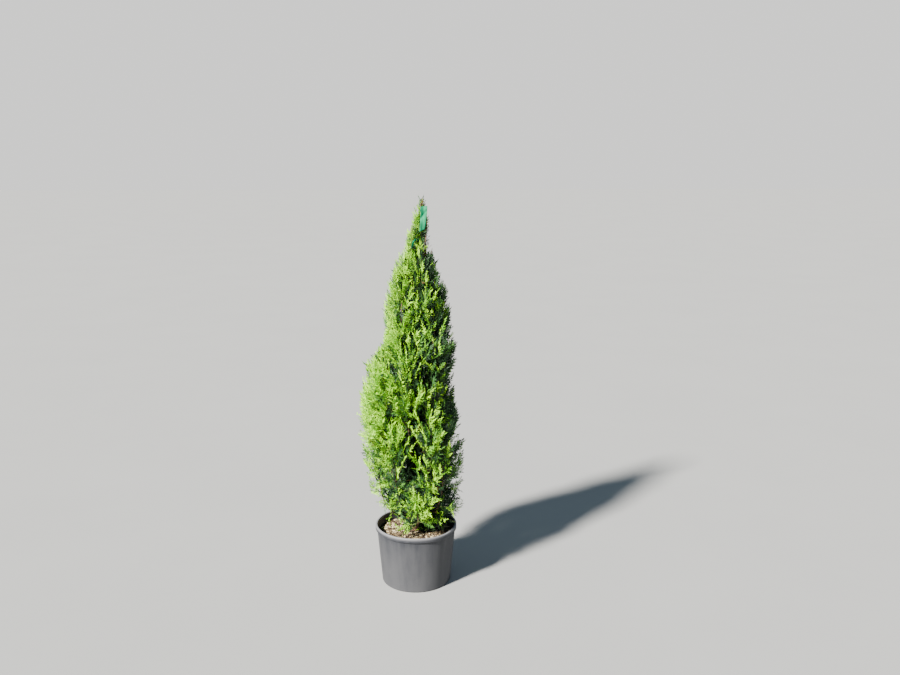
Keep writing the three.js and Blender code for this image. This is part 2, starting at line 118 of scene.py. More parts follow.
def straight(start, end, steps):
    """Points [r, z] evenly spaced from start to end, without the end itself."""
    return np.linspace(start, end, steps, endpoint=False)


def between(value, start, end):
    """How far a value has come from start to end: 0 up to the start, 1 from the end on, even in between."""
    return np.clip((value - start) / (end - start), 0, 1)


def dot(a, b):
    """The scalar product of vectors: the sum of the products of their parts, as a last axis of one."""
    return np.sum(a * b, -1, keepdims=True)


def round_angles(count):
    """Angles in even steps once round."""
    return np.linspace(0, 2 * np.pi, count, endpoint=False)


def compass(bearing):
    """Level directions at bearings: their cosine along X and their sine along Y."""
    return np.stack([np.cos(bearing), np.sin(bearing), 0 * bearing], -1)


def turned(profile, columns):
    """A grid of points: each profile point [r, z] is carried round the Z axis at even angles."""
    r, z = profile[:, :1, None], profile[:, 1:, None]
    return r * compass(round_angles(columns)) + z * [0, 0, 1]


def grid_faces(rows, columns, closed=True):
    """Triangles between neighbouring points of a grid, whose rows close on themselves or stay open."""
    i, k = np.meshgrid(np.arange(rows - 1), np.arange(columns if closed else columns - 1), indexing="ij")
    a, b = i * columns + k, i * columns + (k + 1) % columns
    lower = np.stack([a, b, b + columns], -1)
    upper = np.stack([a, b + columns, a + columns], -1)
    return np.concatenate([lower.reshape(-1, 3), upper.reshape(-1, 3)])


def new_mesh(name, points, faces):
    """A mesh from arrays of points in millimetres and of the numbers of each triangle's three points."""
    mesh = bpy.data.meshes.new(name)
    mesh.vertices.add(points.size // 3)
    mesh.vertices.foreach_set("co", (points * MILLIMETRE).astype(np.float32).ravel())
    mesh.loops.add(faces.size)
    mesh.loops.foreach_set("vertex_index", faces.astype(np.int32).ravel())
    mesh.polygons.add(faces.size // 3)
    mesh.polygons.foreach_set("loop_start", np.arange(0, faces.size, 3, dtype=np.int32))
    mesh.update(calc_edges=True)
    return mesh


def new_object(name, data):
    """An object at the origin for a mesh, a light or a camera, in the scene's collection."""
    thing = bpy.data.objects.new(name, data)
    bpy.context.scene.collection.objects.link(thing)
    return thing


def new_piece(mesh, finish, nodes, smooth):
    """A piece of the plant by its mesh's name: the mesh with its finish, on the plant's one body."""
    mesh.polygons.foreach_set("use_smooth", np.full(len(mesh.polygons), smooth))
    mesh.materials.append(finish)
    piece = new_object(mesh.name, mesh)
    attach(piece, "root")
    if nodes:
        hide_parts(*nodes)
    return piece


def new_finish(name):
    """An empty material with its shader, and the tree that its pattern is built in."""
    finish = bpy.data.materials.new(name)
    finish.use_nodes = True
    return finish, finish.node_tree, finish.node_tree.nodes["Principled BSDF"]


def set_inputs(tree, node, inputs):
    """Gives each input of a node its value, or a link where the value is another node's output."""
    for key, value in inputs.items():
        if isinstance(value, bpy.types.NodeSocket):
            tree.links.new(value, node.inputs[key])
        else:
            node.inputs[key].default_value = value


def add_node(tree, kind, inputs=None, **settings):
    """A node of a kind in a tree, with its settings and its inputs' values or links."""
    node = tree.nodes.new("ShaderNode" + kind)
    for key, value in settings.items():
        setattr(node, key, value)
    set_inputs(tree, node, inputs or {})
    return node


def object_place(tree):
    """The output that gives each point's own coordinates on the object."""
    return add_node(tree, "TexCoord").outputs["Object"]


def mixed(tree, share, first, second, blend="MIX"):
    """The output of a mix of two colours: the second one's share, or the product of both."""
    inputs = {0: share, 6: first, 7: second}
    return add_node(tree, "Mix", inputs, data_type="RGBA", blend_type=blend).outputs[2]


def ramp(tree, value, start, end, low, high):
    """The output of a straight ramp: low where the value is at its start and high where it is at its end."""
    inputs = {"Value": value, "From Min": start, "From Max": end, "To Min": low, "To Max": high}
    return add_node(tree, "MapRange", inputs).outputs["Result"]


def mottle_effect():
    """A pattern for many of the plant's finishes: noise on object coordinates, stretched by a scale along
    each axis, mixes two colours, and the same noise goes out as a mask and as a height."""
    tree = bpy.data.node_groups.new("mottle", "ShaderNodeTree")
    sockets = {
        "INPUT": {"First": "Color", "Second": "Color", "Stretch": "Vector", "Scale": "Float", "Low": "Float",
                  "High": "Float"},
        "OUTPUT": {"Color": "Color", "Mask": "Float", "Height": "Float"},
    }
    for way, labels in sockets.items():
        for label, kind in labels.items():
            tree.interface.new_socket(label, in_out=way, socket_type="NodeSocket" + kind)
    given = tree.nodes.new("NodeGroupInput").outputs
    place = add_node(tree, "VectorMath", {0: object_place(tree), 1: given["Stretch"]}, operation="MULTIPLY")
    noise = add_node(tree, "TexNoise", {
        "Vector": place.outputs[0], "Scale": given["Scale"], "Detail": 5.0, "Roughness": 0.62,
    }).outputs[0]
    mask = ramp(tree, noise, given["Low"], given["High"], 0, 1)
    tone = mixed(tree, mask, given["First"], given["Second"])
    set_inputs(tree, tree.nodes.new("NodeGroupOutput"), {"Color": tone, "Mask": mask, "Height": noise})
    return tree


MOTTLE = mottle_effect()


def add_mottle(tree, first, second, stretch, scale, low, high):
    """The outputs of the mottle effect in a material's tree, with its own colours and sizes."""
    node = add_node(tree, "Group", node_tree=MOTTLE)
    set_inputs(tree, node, {
        "First": first, "Second": second, "Stretch": stretch, "Scale": scale, "Low": low, "High": high,
    })
    return node.outputs


def add_relief(tree, shader, height, strength, distance):
    """A bump from a height, joined to the shader's normal."""
    bump = add_node(tree, "Bump", {"Strength": strength, "Distance": distance, "Height": height})
    set_inputs(tree, shader, {"Normal": bump.outputs["Normal"]})


def mottled_finish(name, first, second, grain, relief, roughness, gloss):
    """A finish of one mottle: two colours, the grain's stretch, scale and limits, a relief of the same noise
    by its strength and its depth in metres, and an even roughness and gloss."""
    finish, tree, shader = new_finish(name)
    mottle = add_mottle(tree, first, second, *grain)
    set_inputs(tree, shader, {
        "Base Color": mottle["Color"], "Roughness": roughness, "Specular IOR Level": gloss,
    })
    if relief:
        add_relief(tree, shader, mottle["Height"], *relief)
    return finish


def can_finish():
    """Matte plastic under dust: rain streaks run down the wall, dust gathers in blotches and towards the
    foot, where painted shade also darkens the upper wall, fine speckle lies over both, painted shadow
    darkens the wall under the lip, and the lip's top edge is painted pale for scuffs and a painted highlight."""
    finish, tree, shader = new_finish("dusty_can_plastic_painted_light")
    streaks = add_mottle(tree, CAN_PLASTIC, CAN_DUST, (1, 1, 0.05), 34, 0.34, 0.74)
    blotches = add_mottle(tree, BLACK, WHITE, (1, 1, 0.7), 15, 0.36, 0.68)
    speckle = add_mottle(tree, (0.82, 0.82, 0.82, 1), (1.12, 1.11, 1.08, 1), EVEN, 520, 0.3, 0.7)
    height = add_node(tree, "SeparateXYZ", {0: object_place(tree)}).outputs["Z"]
    # Dust towards the foot, and painted shade: the ramp reaches up the whole wall, so the wall is painted
    # darker towards the lip.
    foot_dust_and_painted_shade = ramp(tree, height, 0.2, 0, 0, 0.75)
    # Painted shadow of the lip: the wall just under it is mixed back to the darker bare plastic.
    painted_lip_shadow = ramp(tree, height, 0.185, 0.213, 0, 0.4)
    # Scuffs and a painted highlight: the lip's top edge is painted pale.
    on_lip = ramp(tree, height, 0.2165, 0.2275, 0, 0.8)
    # This mix carries the dust and the painted shade of the upper wall together.
    inputs = {0: blotches["Mask"], 1: 0.42, 2: foot_dust_and_painted_shade}
    dust = add_node(tree, "Math", inputs, operation="MULTIPLY_ADD", use_clamp=True).outputs[0]
    tone = mixed(tree, dust, streaks["Color"], CAN_DUST)
    tone = mixed(tree, painted_lip_shadow, tone, CAN_PLASTIC)
    tone = mixed(tree, on_lip, tone, LIP_SCUFF_AND_HIGHLIGHT)
    set_inputs(tree, shader, {
        "Base Color": mixed(tree, 1, tone, speckle["Color"], "MULTIPLY"),
        "Roughness": ramp(tree, dust, 0, 1, 0.5, 0.82),
        "Specular IOR Level": 0.35,
    })
    add_relief(tree, shader, speckle["Height"], 0.25, 0.0006)
    return finish


def can_profile():
    """The can's section as points [r, z], from the underside's middle out, up the wall, over the lip and
    back down inside to the floor's middle."""
    wall_top = RIM_RADIUS - LIP_OVERHANG
    lip_foot = CAN_HEIGHT - LIP_DEPTH
    inner_top, inner_foot = wall_top - WALL, FOOT_RADIUS - WALL
    return np.concatenate([
        straight([AXIS_GAP, 0], [FOOT_RADIUS - FOOT_CORNER, 0], 10),
        round_corner([FOOT_RADIUS - FOOT_CORNER, FOOT_CORNER], FOOT_CORNER, -90, -5, 6),
        straight([FOOT_RADIUS, FOOT_CORNER + 1.5], [wall_top - 0.3, lip_foot - 2.5], 26),
        round_corner([wall_top + 1.5, lip_foot - 2.2], LIP_FILLET, 170, 90, 4),
        round_corner([RIM_RADIUS - LIP_FOOT_CORNER, lip_foot + 1.2], LIP_FOOT_CORNER, -70, 0, 5),
        straight([RIM_RADIUS, lip_foot + 2], [RIM_RADIUS, CAN_HEIGHT - LIP_CORNER], 4),
        round_corner([RIM_RADIUS - LIP_CORNER, CAN_HEIGHT - LIP_CORNER], LIP_CORNER, 0, 90, 8),
        round_corner([inner_top + INNER_CORNER, CAN_HEIGHT - INNER_CORNER], INNER_CORNER, 90, 180, 6),
        straight([inner_top, CAN_HEIGHT - LIP_CORNER], [inner_foot, CAN_FLOOR + 6], 22),
        round_corner([inner_foot - FLOOR_CORNER, CAN_FLOOR + FLOOR_CORNER], FLOOR_CORNER, 0, -90, 5),
        straight([FOOT_RADIUS - 9, CAN_FLOOR], [AXIS_GAP, CAN_FLOOR], 9),
        [[AXIS_GAP, CAN_FLOOR]],
    ])


def can_points():
    """The turned profile, drawn a little out of round towards the rim and with shallow dents: each point
    moves outwards by a cosine of twice its angle and by slow noise, both growing with height. The rim sags
    by a sine of three times its angle."""
    points = turned(can_profile(), CAN_COLUMNS)
    angle = np.arctan2(points[..., 1], points[..., 0])
    up = between(points[..., 2], 0, CAN_HEIGHT)
    out = up * (CAN_OVAL * np.cos(2 * angle + 0.7) + DENT_DEPTH * soft_noise(points, DENT_SIZE, 5))
    radius = np.hypot(points[..., 0], points[..., 1])
    points[..., :2] *= (1 + np.where(radius > 100, out / radius.clip(1), 0))[..., None]
    points[..., 2] += RIM_SAG * up**6 * (np.sin(3 * angle + 1.2) - 1)
    return points


def repeated(faces, count, points):
    """The faces of one shape for a count of like shapes that follow each other, each of so many points."""
    return faces[None] + (np.arange(count) * points)[:, None, None]


def close_ends(mesh):
    """Merges the points of a mesh that lie together, so that poles and seams close."""
    work = bmesh.new()
    work.from_mesh(mesh)
    bmesh.ops.remove_doubles(work, verts=work.verts, dist=2e-5)
    bmesh.ops.dissolve_degenerate(work, edges=work.edges, dist=1e-6)
    bmesh.ops.recalc_face_normals(work, faces=work.faces)
    work.to_mesh(mesh)
    work.free()
    return mesh


def drain_drill():
    """Six upright rods where the drain holes go, as one mesh: circles at two heights with closed ends."""
    bearing = 2 * np.pi * (np.arange(DRAIN_HOLES) + 0.5) / DRAIN_HOLES
    out = FOOT_RADIUS - FOOT_CORNER - 2 * DRAIN_RADIUS
    radii = [AXIS_GAP, DRAIN_RADIUS, DRAIN_RADIUS, AXIS_GAP]
    rod = turned(np.stack([radii, [DRILL_FOOT, DRILL_FOOT, DRILL_TOP, DRILL_TOP]], -1), DRAIN_SIDES)
    points = rod + out * compass(bearing)[:, None, None]
    faces = repeated(grid_faces(4, DRAIN_SIDES), DRAIN_HOLES, rod.size // 3)
    return close_ends(new_mesh("drill", points, faces))


can_grid = can_points()
can_mesh = close_ends(new_mesh("can_shell", can_grid, grid_faces(*can_grid.shape[:2])))
can = new_piece(can_mesh, can_finish(), ["can"], True)
drill = new_object("drill", drain_drill())
holes = can.modifiers.new("drain_holes", "BOOLEAN")
holes.operation = "DIFFERENCE"
holes.solver = "EXACT"
holes.object = drill
drilled = bpy.data.meshes.new_from_object(can.evaluated_get(bpy.context.evaluated_depsgraph_get()))
can.modifiers.clear()
can.data = drilled
bpy.data.objects.remove(drill)


# The root ball and its mulch.
# Peat and roots fill the can, and coarse chopped bark lies loose on top of them. The chips are buff, tan
# and brown, lie any way up, and reach the trunk's foot and the can's wall.
SOIL_TOP = 200.0
SOIL_EDGE_DROP = 7.0
SOIL_FLAT_RADIUS = 45.0
SOIL_COLUMNS = 150
SOIL_RINGS = 70
WALL_GAP = 0.6
PEAT = ((0.028, 0.018, 0.012, 1), (0.075, 0.05, 0.032, 1))
CRUMB_RELIEF = (0.6, 0.0012)
CRUMB_MARGIN = 6
CHIP_COUNT = 1500
CHIP_KINDS = 24
CHIP_CORNERS = 6
CHIP_TURN = 2.39996
CHIP_LENGTHS = (7, 21)
CHIP_WIDTHS = (0.16, 0.62)
CHIP_DEPTHS = (1.0, 2.8)
WIDEST_CHIP = 9
CHIP_HEAP = (-0.5, 4.2)
CHIP_TILT = 0.24
CHIP_SHARES = [0.32, 0.32, 0.36]
CHIP_COLOURS = {
    "buff": ((0.62, 0.53, 0.33, 1), (0.4, 0.3, 0.16, 1)),
    "tan": ((0.2, 0.142, 0.078, 1), (0.11, 0.073, 0.038, 1)),
    "brown": ((0.07, 0.046, 0.028, 1), (0.032, 0.022, 0.015, 1)),
}
UP = np.array([0.0, 0.0, 1.0])


def can_inside(z):
    """The can's inner radius at a height: it grows evenly from the floor's edge to the rim."""
    share = (z - CAN_FLOOR - 5) / (CAN_HEIGHT - CAN_FLOOR - 5)
    return FOOT_RADIUS - WALL + (RIM_RADIUS - LIP_OVERHANG - FOOT_RADIUS) * share


def soil_height(radius):
    """The mulch's height: level near the trunk, then straight down to the can's wall."""
    return SOIL_TOP - SOIL_EDGE_DROP * between(radius, SOIL_FLAT_RADIUS, can_inside(SOIL_TOP) - 1)


def soil_points():
    """The root ball turned from its section, with crumbs on its top: noise of two sizes lifts each point
    of the top, and none at the wall."""
    edge = can_inside(SOIL_TOP - SOIL_EDGE_DROP) - WALL_GAP
    radii = np.linspace(AXIS_GAP, edge, SOIL_RINGS)
    top = np.stack([radii, soil_height(radii)], -1)[::-1]
    floor = CAN_FLOOR + 0.3
    foot = FOOT_RADIUS - WALL - WALL_GAP
    profile = np.concatenate([
        straight([AXIS_GAP, floor], [FOOT_RADIUS - 5.3, floor], 5),
        straight([foot, floor + 5], [edge, SOIL_TOP - SOIL_EDGE_DROP], 8),
        top,
    ])
    points = turned(profile, SOIL_COLUMNS)
    inwards = edge - np.hypot(points[..., 0], points[..., 1])
    crumbs = 1.7 * soft_noise(points, (9, 9, 9), 11) + 0.9 * soft_noise(points, (3.5, 3.5, 3.5), 12) - 1.6
    points[1 - len(top):, :, 2] += (crumbs * between(inwards, 0, CRUMB_MARGIN))[1 - len(top):]
    return points


def turned_frames(yaw, tilt, tilt_bearing):
    """Frames for loose bits: turned about Z by yaw, then tipped by tilt about a level axis at a bearing.
    Each frame's rows are the bit's own length, width and thickness directions."""
    flat, axis = compass(yaw), compass(tilt_bearing)
    c, s = np.cos(tilt)[:, None], np.sin(tilt)[:, None]
    return np.stack([
        v * c + np.cross(axis, v) * s + axis * dot(axis, v) * (1 - c)
        for v in (flat, np.cross(UP, flat), np.broadcast_to(UP, flat.shape))
    ], 1)


def chip_shapes(rng, kinds):
    """Unit chips: an uneven six-cornered plate, its upper face a little smaller and skewed."""
    grid = (kinds, CHIP_CORNERS)
    angles = round_angles(CHIP_CORNERS) + rng.uniform(-0.3, 0.3, grid)
    reach = rng.uniform(0.7, 1.05, grid)
    x, y = reach * np.cos(angles) * 0.5, reach * np.sin(angles) * 0.5
    lower = np.stack([x, y, rng.uniform(-0.2, 0.2, grid) - 0.5], -1)
    upper = np.stack([x * 0.85, y * 0.8, rng.uniform(-0.3, 0.3, grid) + 0.5], -1)
    return np.concatenate([lower, upper], 1)


def chip_faces():
    """A chip's triangles: two on each side between the plates, and a fan on each plate."""
    k = np.arange(CHIP_CORNERS)
    after, above, fan = (k + 1) % CHIP_CORNERS, CHIP_CORNERS, k[1:-1]
    return np.concatenate([
        np.stack([k, after, after + above], -1),
        np.stack([k, after + above, k + above], -1),
        np.stack([0 * fan, fan + 1, fan], -1),
        np.stack([0 * fan + above, fan + above, fan + above + 1], -1),
    ])


soil_grid = soil_points()
soil_mesh = close_ends(new_mesh("root_ball", soil_grid, grid_faces(*soil_grid.shape[:2])))
soil_finish = mottled_finish("crumbly_peat", *PEAT, (EVEN, 240, 0.3, 0.7), CRUMB_RELIEF, 0.95, 0.2)
new_piece(soil_mesh, soil_finish, ["soil"], True)

chip_rng = np.random.default_rng(7)
shapes = chip_shapes(chip_rng, CHIP_KINDS)
chip_n = np.arange(CHIP_COUNT)
mulch_edge = can_inside(SOIL_TOP)
chip_radius = 24 + (mulch_edge - 36) * np.sqrt((chip_n + 0.5) / CHIP_COUNT)
chip_bearing = chip_n * CHIP_TURN + chip_rng.uniform(-0.2, 0.2, CHIP_COUNT)
chip_long = chip_rng.uniform(*CHIP_LENGTHS, CHIP_COUNT) * chip_rng.choice([0.7, 1.0, 1.3], CHIP_COUNT)
chip_wide = np.minimum(chip_long * chip_rng.uniform(*CHIP_WIDTHS, CHIP_COUNT), WIDEST_CHIP)
chip_thick = chip_rng.uniform(*CHIP_DEPTHS, CHIP_COUNT)
chip_lift = chip_rng.uniform(*CHIP_HEAP, CHIP_COUNT) - 1.5
chip_yaw = chip_rng.uniform(0, 6.28, CHIP_COUNT)
chip_tilt = chip_rng.normal(0, CHIP_TILT, CHIP_COUNT)
chip_frames = turned_frames(chip_yaw, chip_tilt, chip_rng.uniform(0, 6.28, CHIP_COUNT))
chip_radius = np.minimum(chip_radius, mulch_edge - 3 - chip_long * 0.55)[:, None]
chip_place = chip_radius * compass(chip_bearing) + (soil_height(chip_radius) + chip_lift[:, None]) * UP
chip_size = np.stack([chip_long, chip_wide, chip_thick], -1)
chip_local = shapes[chip_n % CHIP_KINDS] * chip_size[:, None]
chip_points = chip_place[:, None] + np.einsum("nvk,nkj->nvj", chip_local, chip_frames)
chip_kind = chip_rng.choice(len(CHIP_COLOURS), CHIP_COUNT, p=CHIP_SHARES)
for kind, (tint, colours) in enumerate(CHIP_COLOURS.items()):
    mine = chip_points[chip_kind == kind]
    mesh = new_mesh(f"mulch_{tint}", mine, repeated(chip_faces(), len(mine), 2 * CHIP_CORNERS))
    finish = mottled_finish(f"{tint}_bark_chip", *colours, (EVEN, 160, 0.3, 0.7), CRUMB_RELIEF, 0.85, 0.2)
    new_piece(mesh, finish, [], False)


# The trunk.
# One leader runs from the mulch to the tip of the plant, with a slight bow and a root flare at its foot.
# Its bark is thin, red-brown and shreds in upright strips.
PLANT_TOP = 1468.0
TRUNK_RADIUS = 12.0
TRUNK_TIP_RADIUS = 1.6
FLARE_RADIUS = 19.0
FLARE_HEIGHT = 34.0
TOP_LEAN = 30.0
MIDDLE_BOW = 30.0
DEPTH_SWAY = 6.0
LEAN_POWER = 2.2
FLARE_FALL = 3
TRUNK_RINGS = 320
TRUNK_SIDES = 44
TRUNK_SHRED = 0.8
SHREDS_ROUND = 6
SHRED_SIZE = (1.7, 1.7, 34)
FINE_SHRED_SIZE = (0.9, 0.9, 12)
DEEPEST_SHRED = 0.16
BARK_COLOURS = ((0.17, 0.088, 0.05, 1), (0.062, 0.034, 0.022, 1))
BARK_FILM = (0.12, 0.115, 0.07, 1)


def trunk_axis(z):
    """The trunk's centre line: its x is a lean that grows as a power of the height less a bow that is a sine
    of it, and its y is one full sine."""
    z = np.asarray(z, float)
    t = between(z, SOIL_TOP, PLANT_TOP)
    x = TOP_LEAN * t**LEAN_POWER - MIDDLE_BOW * np.sin(np.pi * t) * (1 - t)
    return np.stack([x, DEPTH_SWAY * np.sin(2 * np.pi * t), z], -1)


def trunk_radius(z):
    """The trunk's radius: a straight taper plus a flare that dies away exponentially from the mulch."""
    t = between(z, SOIL_TOP, PLANT_TOP)
    flare = (FLARE_RADIUS - TRUNK_RADIUS) * np.exp(-FLARE_FALL * (z - SOIL_TOP) / FLARE_HEIGHT)
    return TRUNK_RADIUS + (TRUNK_TIP_RADIUS - TRUNK_RADIUS) * t + flare


def unit(v):
    """Each vector over its own length."""
    return v / np.linalg.norm(v, axis=-1, keepdims=True).clip(1e-9)


def square_to(axis, v):
    """Each vector's direction square to an axis: the vector less its own share along the axis."""
    return unit(v - axis * dot(axis, v))


def tubes(paths, radii, normals, sides, relief=None):
    """Closed tubes along flat curves: for each of m paths of n points, rings of corners stand square to the
    path's tangent, at the radius, between the path's own normal and the direction beside it. The two ends
    close on a middle point. relief(m, n, sides) multiplies the radius."""
    m, n = paths.shape[:2]
    tangent = unit(np.gradient(paths, axis=1))
    across = square_to(tangent, normals[:, None])
    beside = np.cross(tangent, across)
    angle = round_angles(sides)
    r = radii[..., None] * (1 if relief is None else relief)
    rings = (
        paths[:, :, None]
        + across[:, :, None] * (r * np.cos(angle))[..., None]
        + beside[:, :, None] * (r * np.sin(angle))[..., None]
    ).reshape(m, n * sides, 3)
    k = np.arange(sides)
    after = (k + 1) % sides
    start = np.stack([np.full(sides, n * sides), after, k], -1)
    end = np.stack([np.full(sides, n * sides + 1), (n - 1) * sides + k, (n - 1) * sides + after], -1)
    faces = np.concatenate([grid_faces(n, sides), start, end])
    return np.concatenate([rings, paths[:, :1], paths[:, -1:]], 1), repeated(faces, m, n * sides + 2)


def bark_relief(paths, radii, sides, depth, seed):
    """Upright shreds: noise that changes every few degrees round the limb and slowly along it, as a share
    of the radius that depth in millimetres gives."""
    angle = round_angles(sides)
    steps = np.linalg.norm(np.diff(paths, axis=1, prepend=paths[:, :1]), axis=-1)
    along = np.cumsum(steps, 1) + 91 * np.arange(len(paths))[:, None]
    place = SHREDS_ROUND * compass(angle) + along[..., None, None] * UP
    strips = soft_noise(place, SHRED_SIZE, seed) + 0.5 * soft_noise(place, FINE_SHRED_SIZE, seed + 1)
    return 1 + strips * np.minimum(depth / radii, DEEPEST_SHRED)[..., None]


def bark_finish(name, first, second, stretch):
    """Fibrous bark: fine upright mottle of two browns, with grey-green film in blotches over it."""
    finish, tree, shader = new_finish(name)
    fibre = add_mottle(tree, first, second, stretch, 420, 0.34, 0.66)
    film = add_mottle(tree, BLACK, WHITE, EVEN, 45, 0.55, 0.8)
    tone = mixed(tree, film["Mask"], fibre["Color"], BARK_FILM)
    set_inputs(tree, shader, {"Base Color": tone, "Roughness": 0.85, "Specular IOR Level": 0.25})
    add_relief(tree, shader, fibre["Height"], 0.5, 0.0008)
    return finish


trunk_rise = np.linspace(0, 1, TRUNK_RINGS) ** 1.15
trunk_path = trunk_axis(SOIL_TOP + 0.3 + (PLANT_TOP - 6.3 - SOIL_TOP) * trunk_rise)[None]
trunk_radii = trunk_radius(trunk_path[..., 2])
trunk_shred = bark_relief(trunk_path, trunk_radii, TRUNK_SIDES, TRUNK_SHRED, 21)
trunk_parts = tubes(trunk_path, trunk_radii, np.array([[1.0, 0, 0]]), TRUNK_SIDES, trunk_shred)
trunk_finish = bark_finish("red_brown_bark", *BARK_COLOURS, (1, 1, 0.08))
new_piece(new_mesh("trunk_bark", *trunk_parts), trunk_finish, ["trunk"], True)


# The boughs and their stems.
# Each bough leaves the trunk, bows out and rises to its tip at about two thirds of the crown's radius.
# Its first stretch is bare, and the rest is the stem that a mass of foliage grows from.
CROWN_FOOT = SOIL_TOP + 5
CROWN_TOP = PLANT_TOP + 25
CROWN_RADIUS = 200.0
CROWN_FOOT_RADIUS = 122.0
WIDEST_SHARE = 0.28
CROWN_SWELL = 2.2
CROWN_TAPER = 1.65
SKIRT_TOP = CROWN_FOOT + 260
MASS_SHARING = 0.6
SLICE = 2
PLUME_LOW = 1.05
PLUME_HIGH = 2
LONG_PLUMES = CROWN_FOOT + 500
TIP_DIP = 95
LIMB_REACH = 0.66
LEAST_BOUGH_REACH = 78
SEED = 41
MASSES = 29
GOLDEN_ANGLE = math.pi * (3 - math.sqrt(5))
GOLDEN_SHARE = (math.sqrt(5) - 1) / 2
RIBBON_HEIGHT = 1418.0
OUTLINE_SLACK = 1.06
HOLLOWS = np.array([
    [180, 290, 46, 75], [180, 435, 22, 75],
    [183, 965, 44, 95],
    [2, 745, 34, 150],
    [-8, 1275, 26, 130],
    [0, 255, -36, 95],
    [265, 690, 24, 90],
    [100, 830, 28, 110],
    [62, 520, 24, 90],
    [300, 1030, 22, 80],
    [120, 1160, 20, 80],
], float)
BOUGH_SHARE = 0.36
BOUGH_RADIUS = 4.6
STEM_RADIUS = 2.7
TIP_RADIUS = 1.3
LIMB_RINGS = 60
LIMB_SIDES = 14
LIMB_SHRED = 0.35
YOUNG_BARK_COLOURS = ((0.2, 0.11, 0.06, 1), (0.085, 0.05, 0.03, 1))


def seeded_random(seed, count):
    """Even random numbers from 0 to 1: each state is the last one times 1664525 plus 1013904223, kept to
    32 bits and divided by their range."""
    state = seed
    numbers = []
    for _ in range(count):
        state = (state * 1664525 + 1013904223) % 2**32
        numbers.append(state / 2**32)
    return np.array(numbers)


def crown_radius(z):
    """The crown's radius: it swells by a power to its widest, then falls by another power to nothing."""
    t = between(np.asarray(z, float), CROWN_FOOT, CROWN_TOP)
    below = between(t, WIDEST_SHARE, 0)
    above = between(t, WIDEST_SHARE, 1)
    low = CROWN_RADIUS - (CROWN_RADIUS - CROWN_FOOT_RADIUS) * below**CROWN_SWELL
    return np.where(t < WIDEST_SHARE, low, CROWN_RADIUS * (1 - above**CROWN_TAPER))


def off_axis(points):
    """Level offsets of points from the trunk's centre line at their own height."""
    return points - trunk_axis(points[..., 2])


def axis_distance(points):
    """How far points lie from the trunk's centre line at their own height."""
    offset = off_axis(points)
    return np.hypot(offset[..., 0], offset[..., 1])


def crown_reach(points):
    """How far the crown reaches at each point's height and bearing: its radius with some slack, less each
    hollow's depth times a parabola of the height and a squared cosine of the bearing."""
    offset = off_axis(points)
    bearing = np.arctan2(offset[..., 1], offset[..., 0])[..., None]
    side, height, depth, half = HOLLOWS.T
    upright = np.maximum(0, 1 - ((points[..., 2, None] - height) / half) ** 2)
    level = np.maximum(0, np.cos(bearing - np.radians(side))) ** 2
    return crown_radius(points[..., 2]) * OUTLINE_SLACK - (depth * upright * level).sum(-1)


def above_skirt(z):
    """From 0 at the crown's foot, where limbs spread and hang, to 1 above the skirt, where they rise."""
    return between(z, CROWN_FOOT, SKIRT_TOP)


def around_trunk(radius, bearing, z):
    """Points at a distance and a bearing from the trunk's centre line."""
    return trunk_axis(z) + radius[..., None] * compass(bearing)


def plan_masses():
    """The masses' heights share out the crown evenly by a power of its radius, and a mass's plume, its
    size, is the root of its share of the crown's skin, drawn out in the upper crown."""
    middles = CROWN_FOOT + (np.arange(int((PLANT_TOP - CROWN_FOOT) // SLICE)) + 0.5) * SLICE
    sums = np.concatenate([[0], np.cumsum(crown_radius(middles) ** MASS_SHARING)])
    at = np.searchsorted(sums, (np.arange(MASSES) + 0.5) / MASSES * sums[-1])
    z = CROWN_FOOT + at * float(SLICE)
    spacing = sums[-1] / MASSES / crown_radius(z) ** MASS_SHARING * SLICE
    stretch = PLUME_LOW + (PLUME_HIGH - PLUME_LOW) * between(z, CROWN_FOOT, LONG_PLUMES)
    return z, stretch * np.sqrt(2 * np.pi * crown_radius(z) * spacing)


def plan_limbs(chance):
    """Each limb's three control points: its foot on the trunk, an elbow beyond its reach, and its tip.
    The bearings turn by the golden angle from limb to limb, and the last limb is the tuft at the top. Gives
    the plumes, the control points and which limbs reach far enough to start with a bough."""
    number = np.arange(MASSES)
    tuft = number == MASSES - 1
    z, plume = plan_masses()
    bearing = number * GOLDEN_ANGLE + (chance[0::2] - 0.5) * 0.3
    dip = TIP_DIP * (PLANT_TOP - z) / (PLANT_TOP - CROWN_FOOT)
    tip_height = np.where(tuft, PLANT_TOP - 16, np.minimum(z + plume * 0.5 - dip, RIBBON_HEIGHT - 22))
    reach = crown_radius(tip_height) * LIMB_REACH
    lowest = np.where(tuft, RIBBON_HEIGHT + 9, SOIL_TOP + 26 + 6 * number)
    foot = np.maximum(tip_height - plume * 0.95 - reach * 0.55, lowest)
    elbow = foot + (tip_height - foot) * (-0.1 + 0.44 * above_skirt(foot))
    controls = np.stack([
        trunk_axis(foot),
        around_trunk(reach * 1.1, bearing, elbow),
        around_trunk(reach, bearing + (chance[1::2] - 0.5) * 0.25, tip_height),
    ], 1)
    return plume, controls, crown_radius(z) > LEAST_BOUGH_REACH


def on_limb(controls, share):
    """Points on limbs: the quadratic curve of the three control points at a share of its length."""
    s = np.asarray(share)[..., None]
    a, b, c = controls[..., 0, :], controls[..., 1, :], controls[..., 2, :]
    return (1 - s) ** 2 * a + 2 * (1 - s) * s * b + s**2 * c


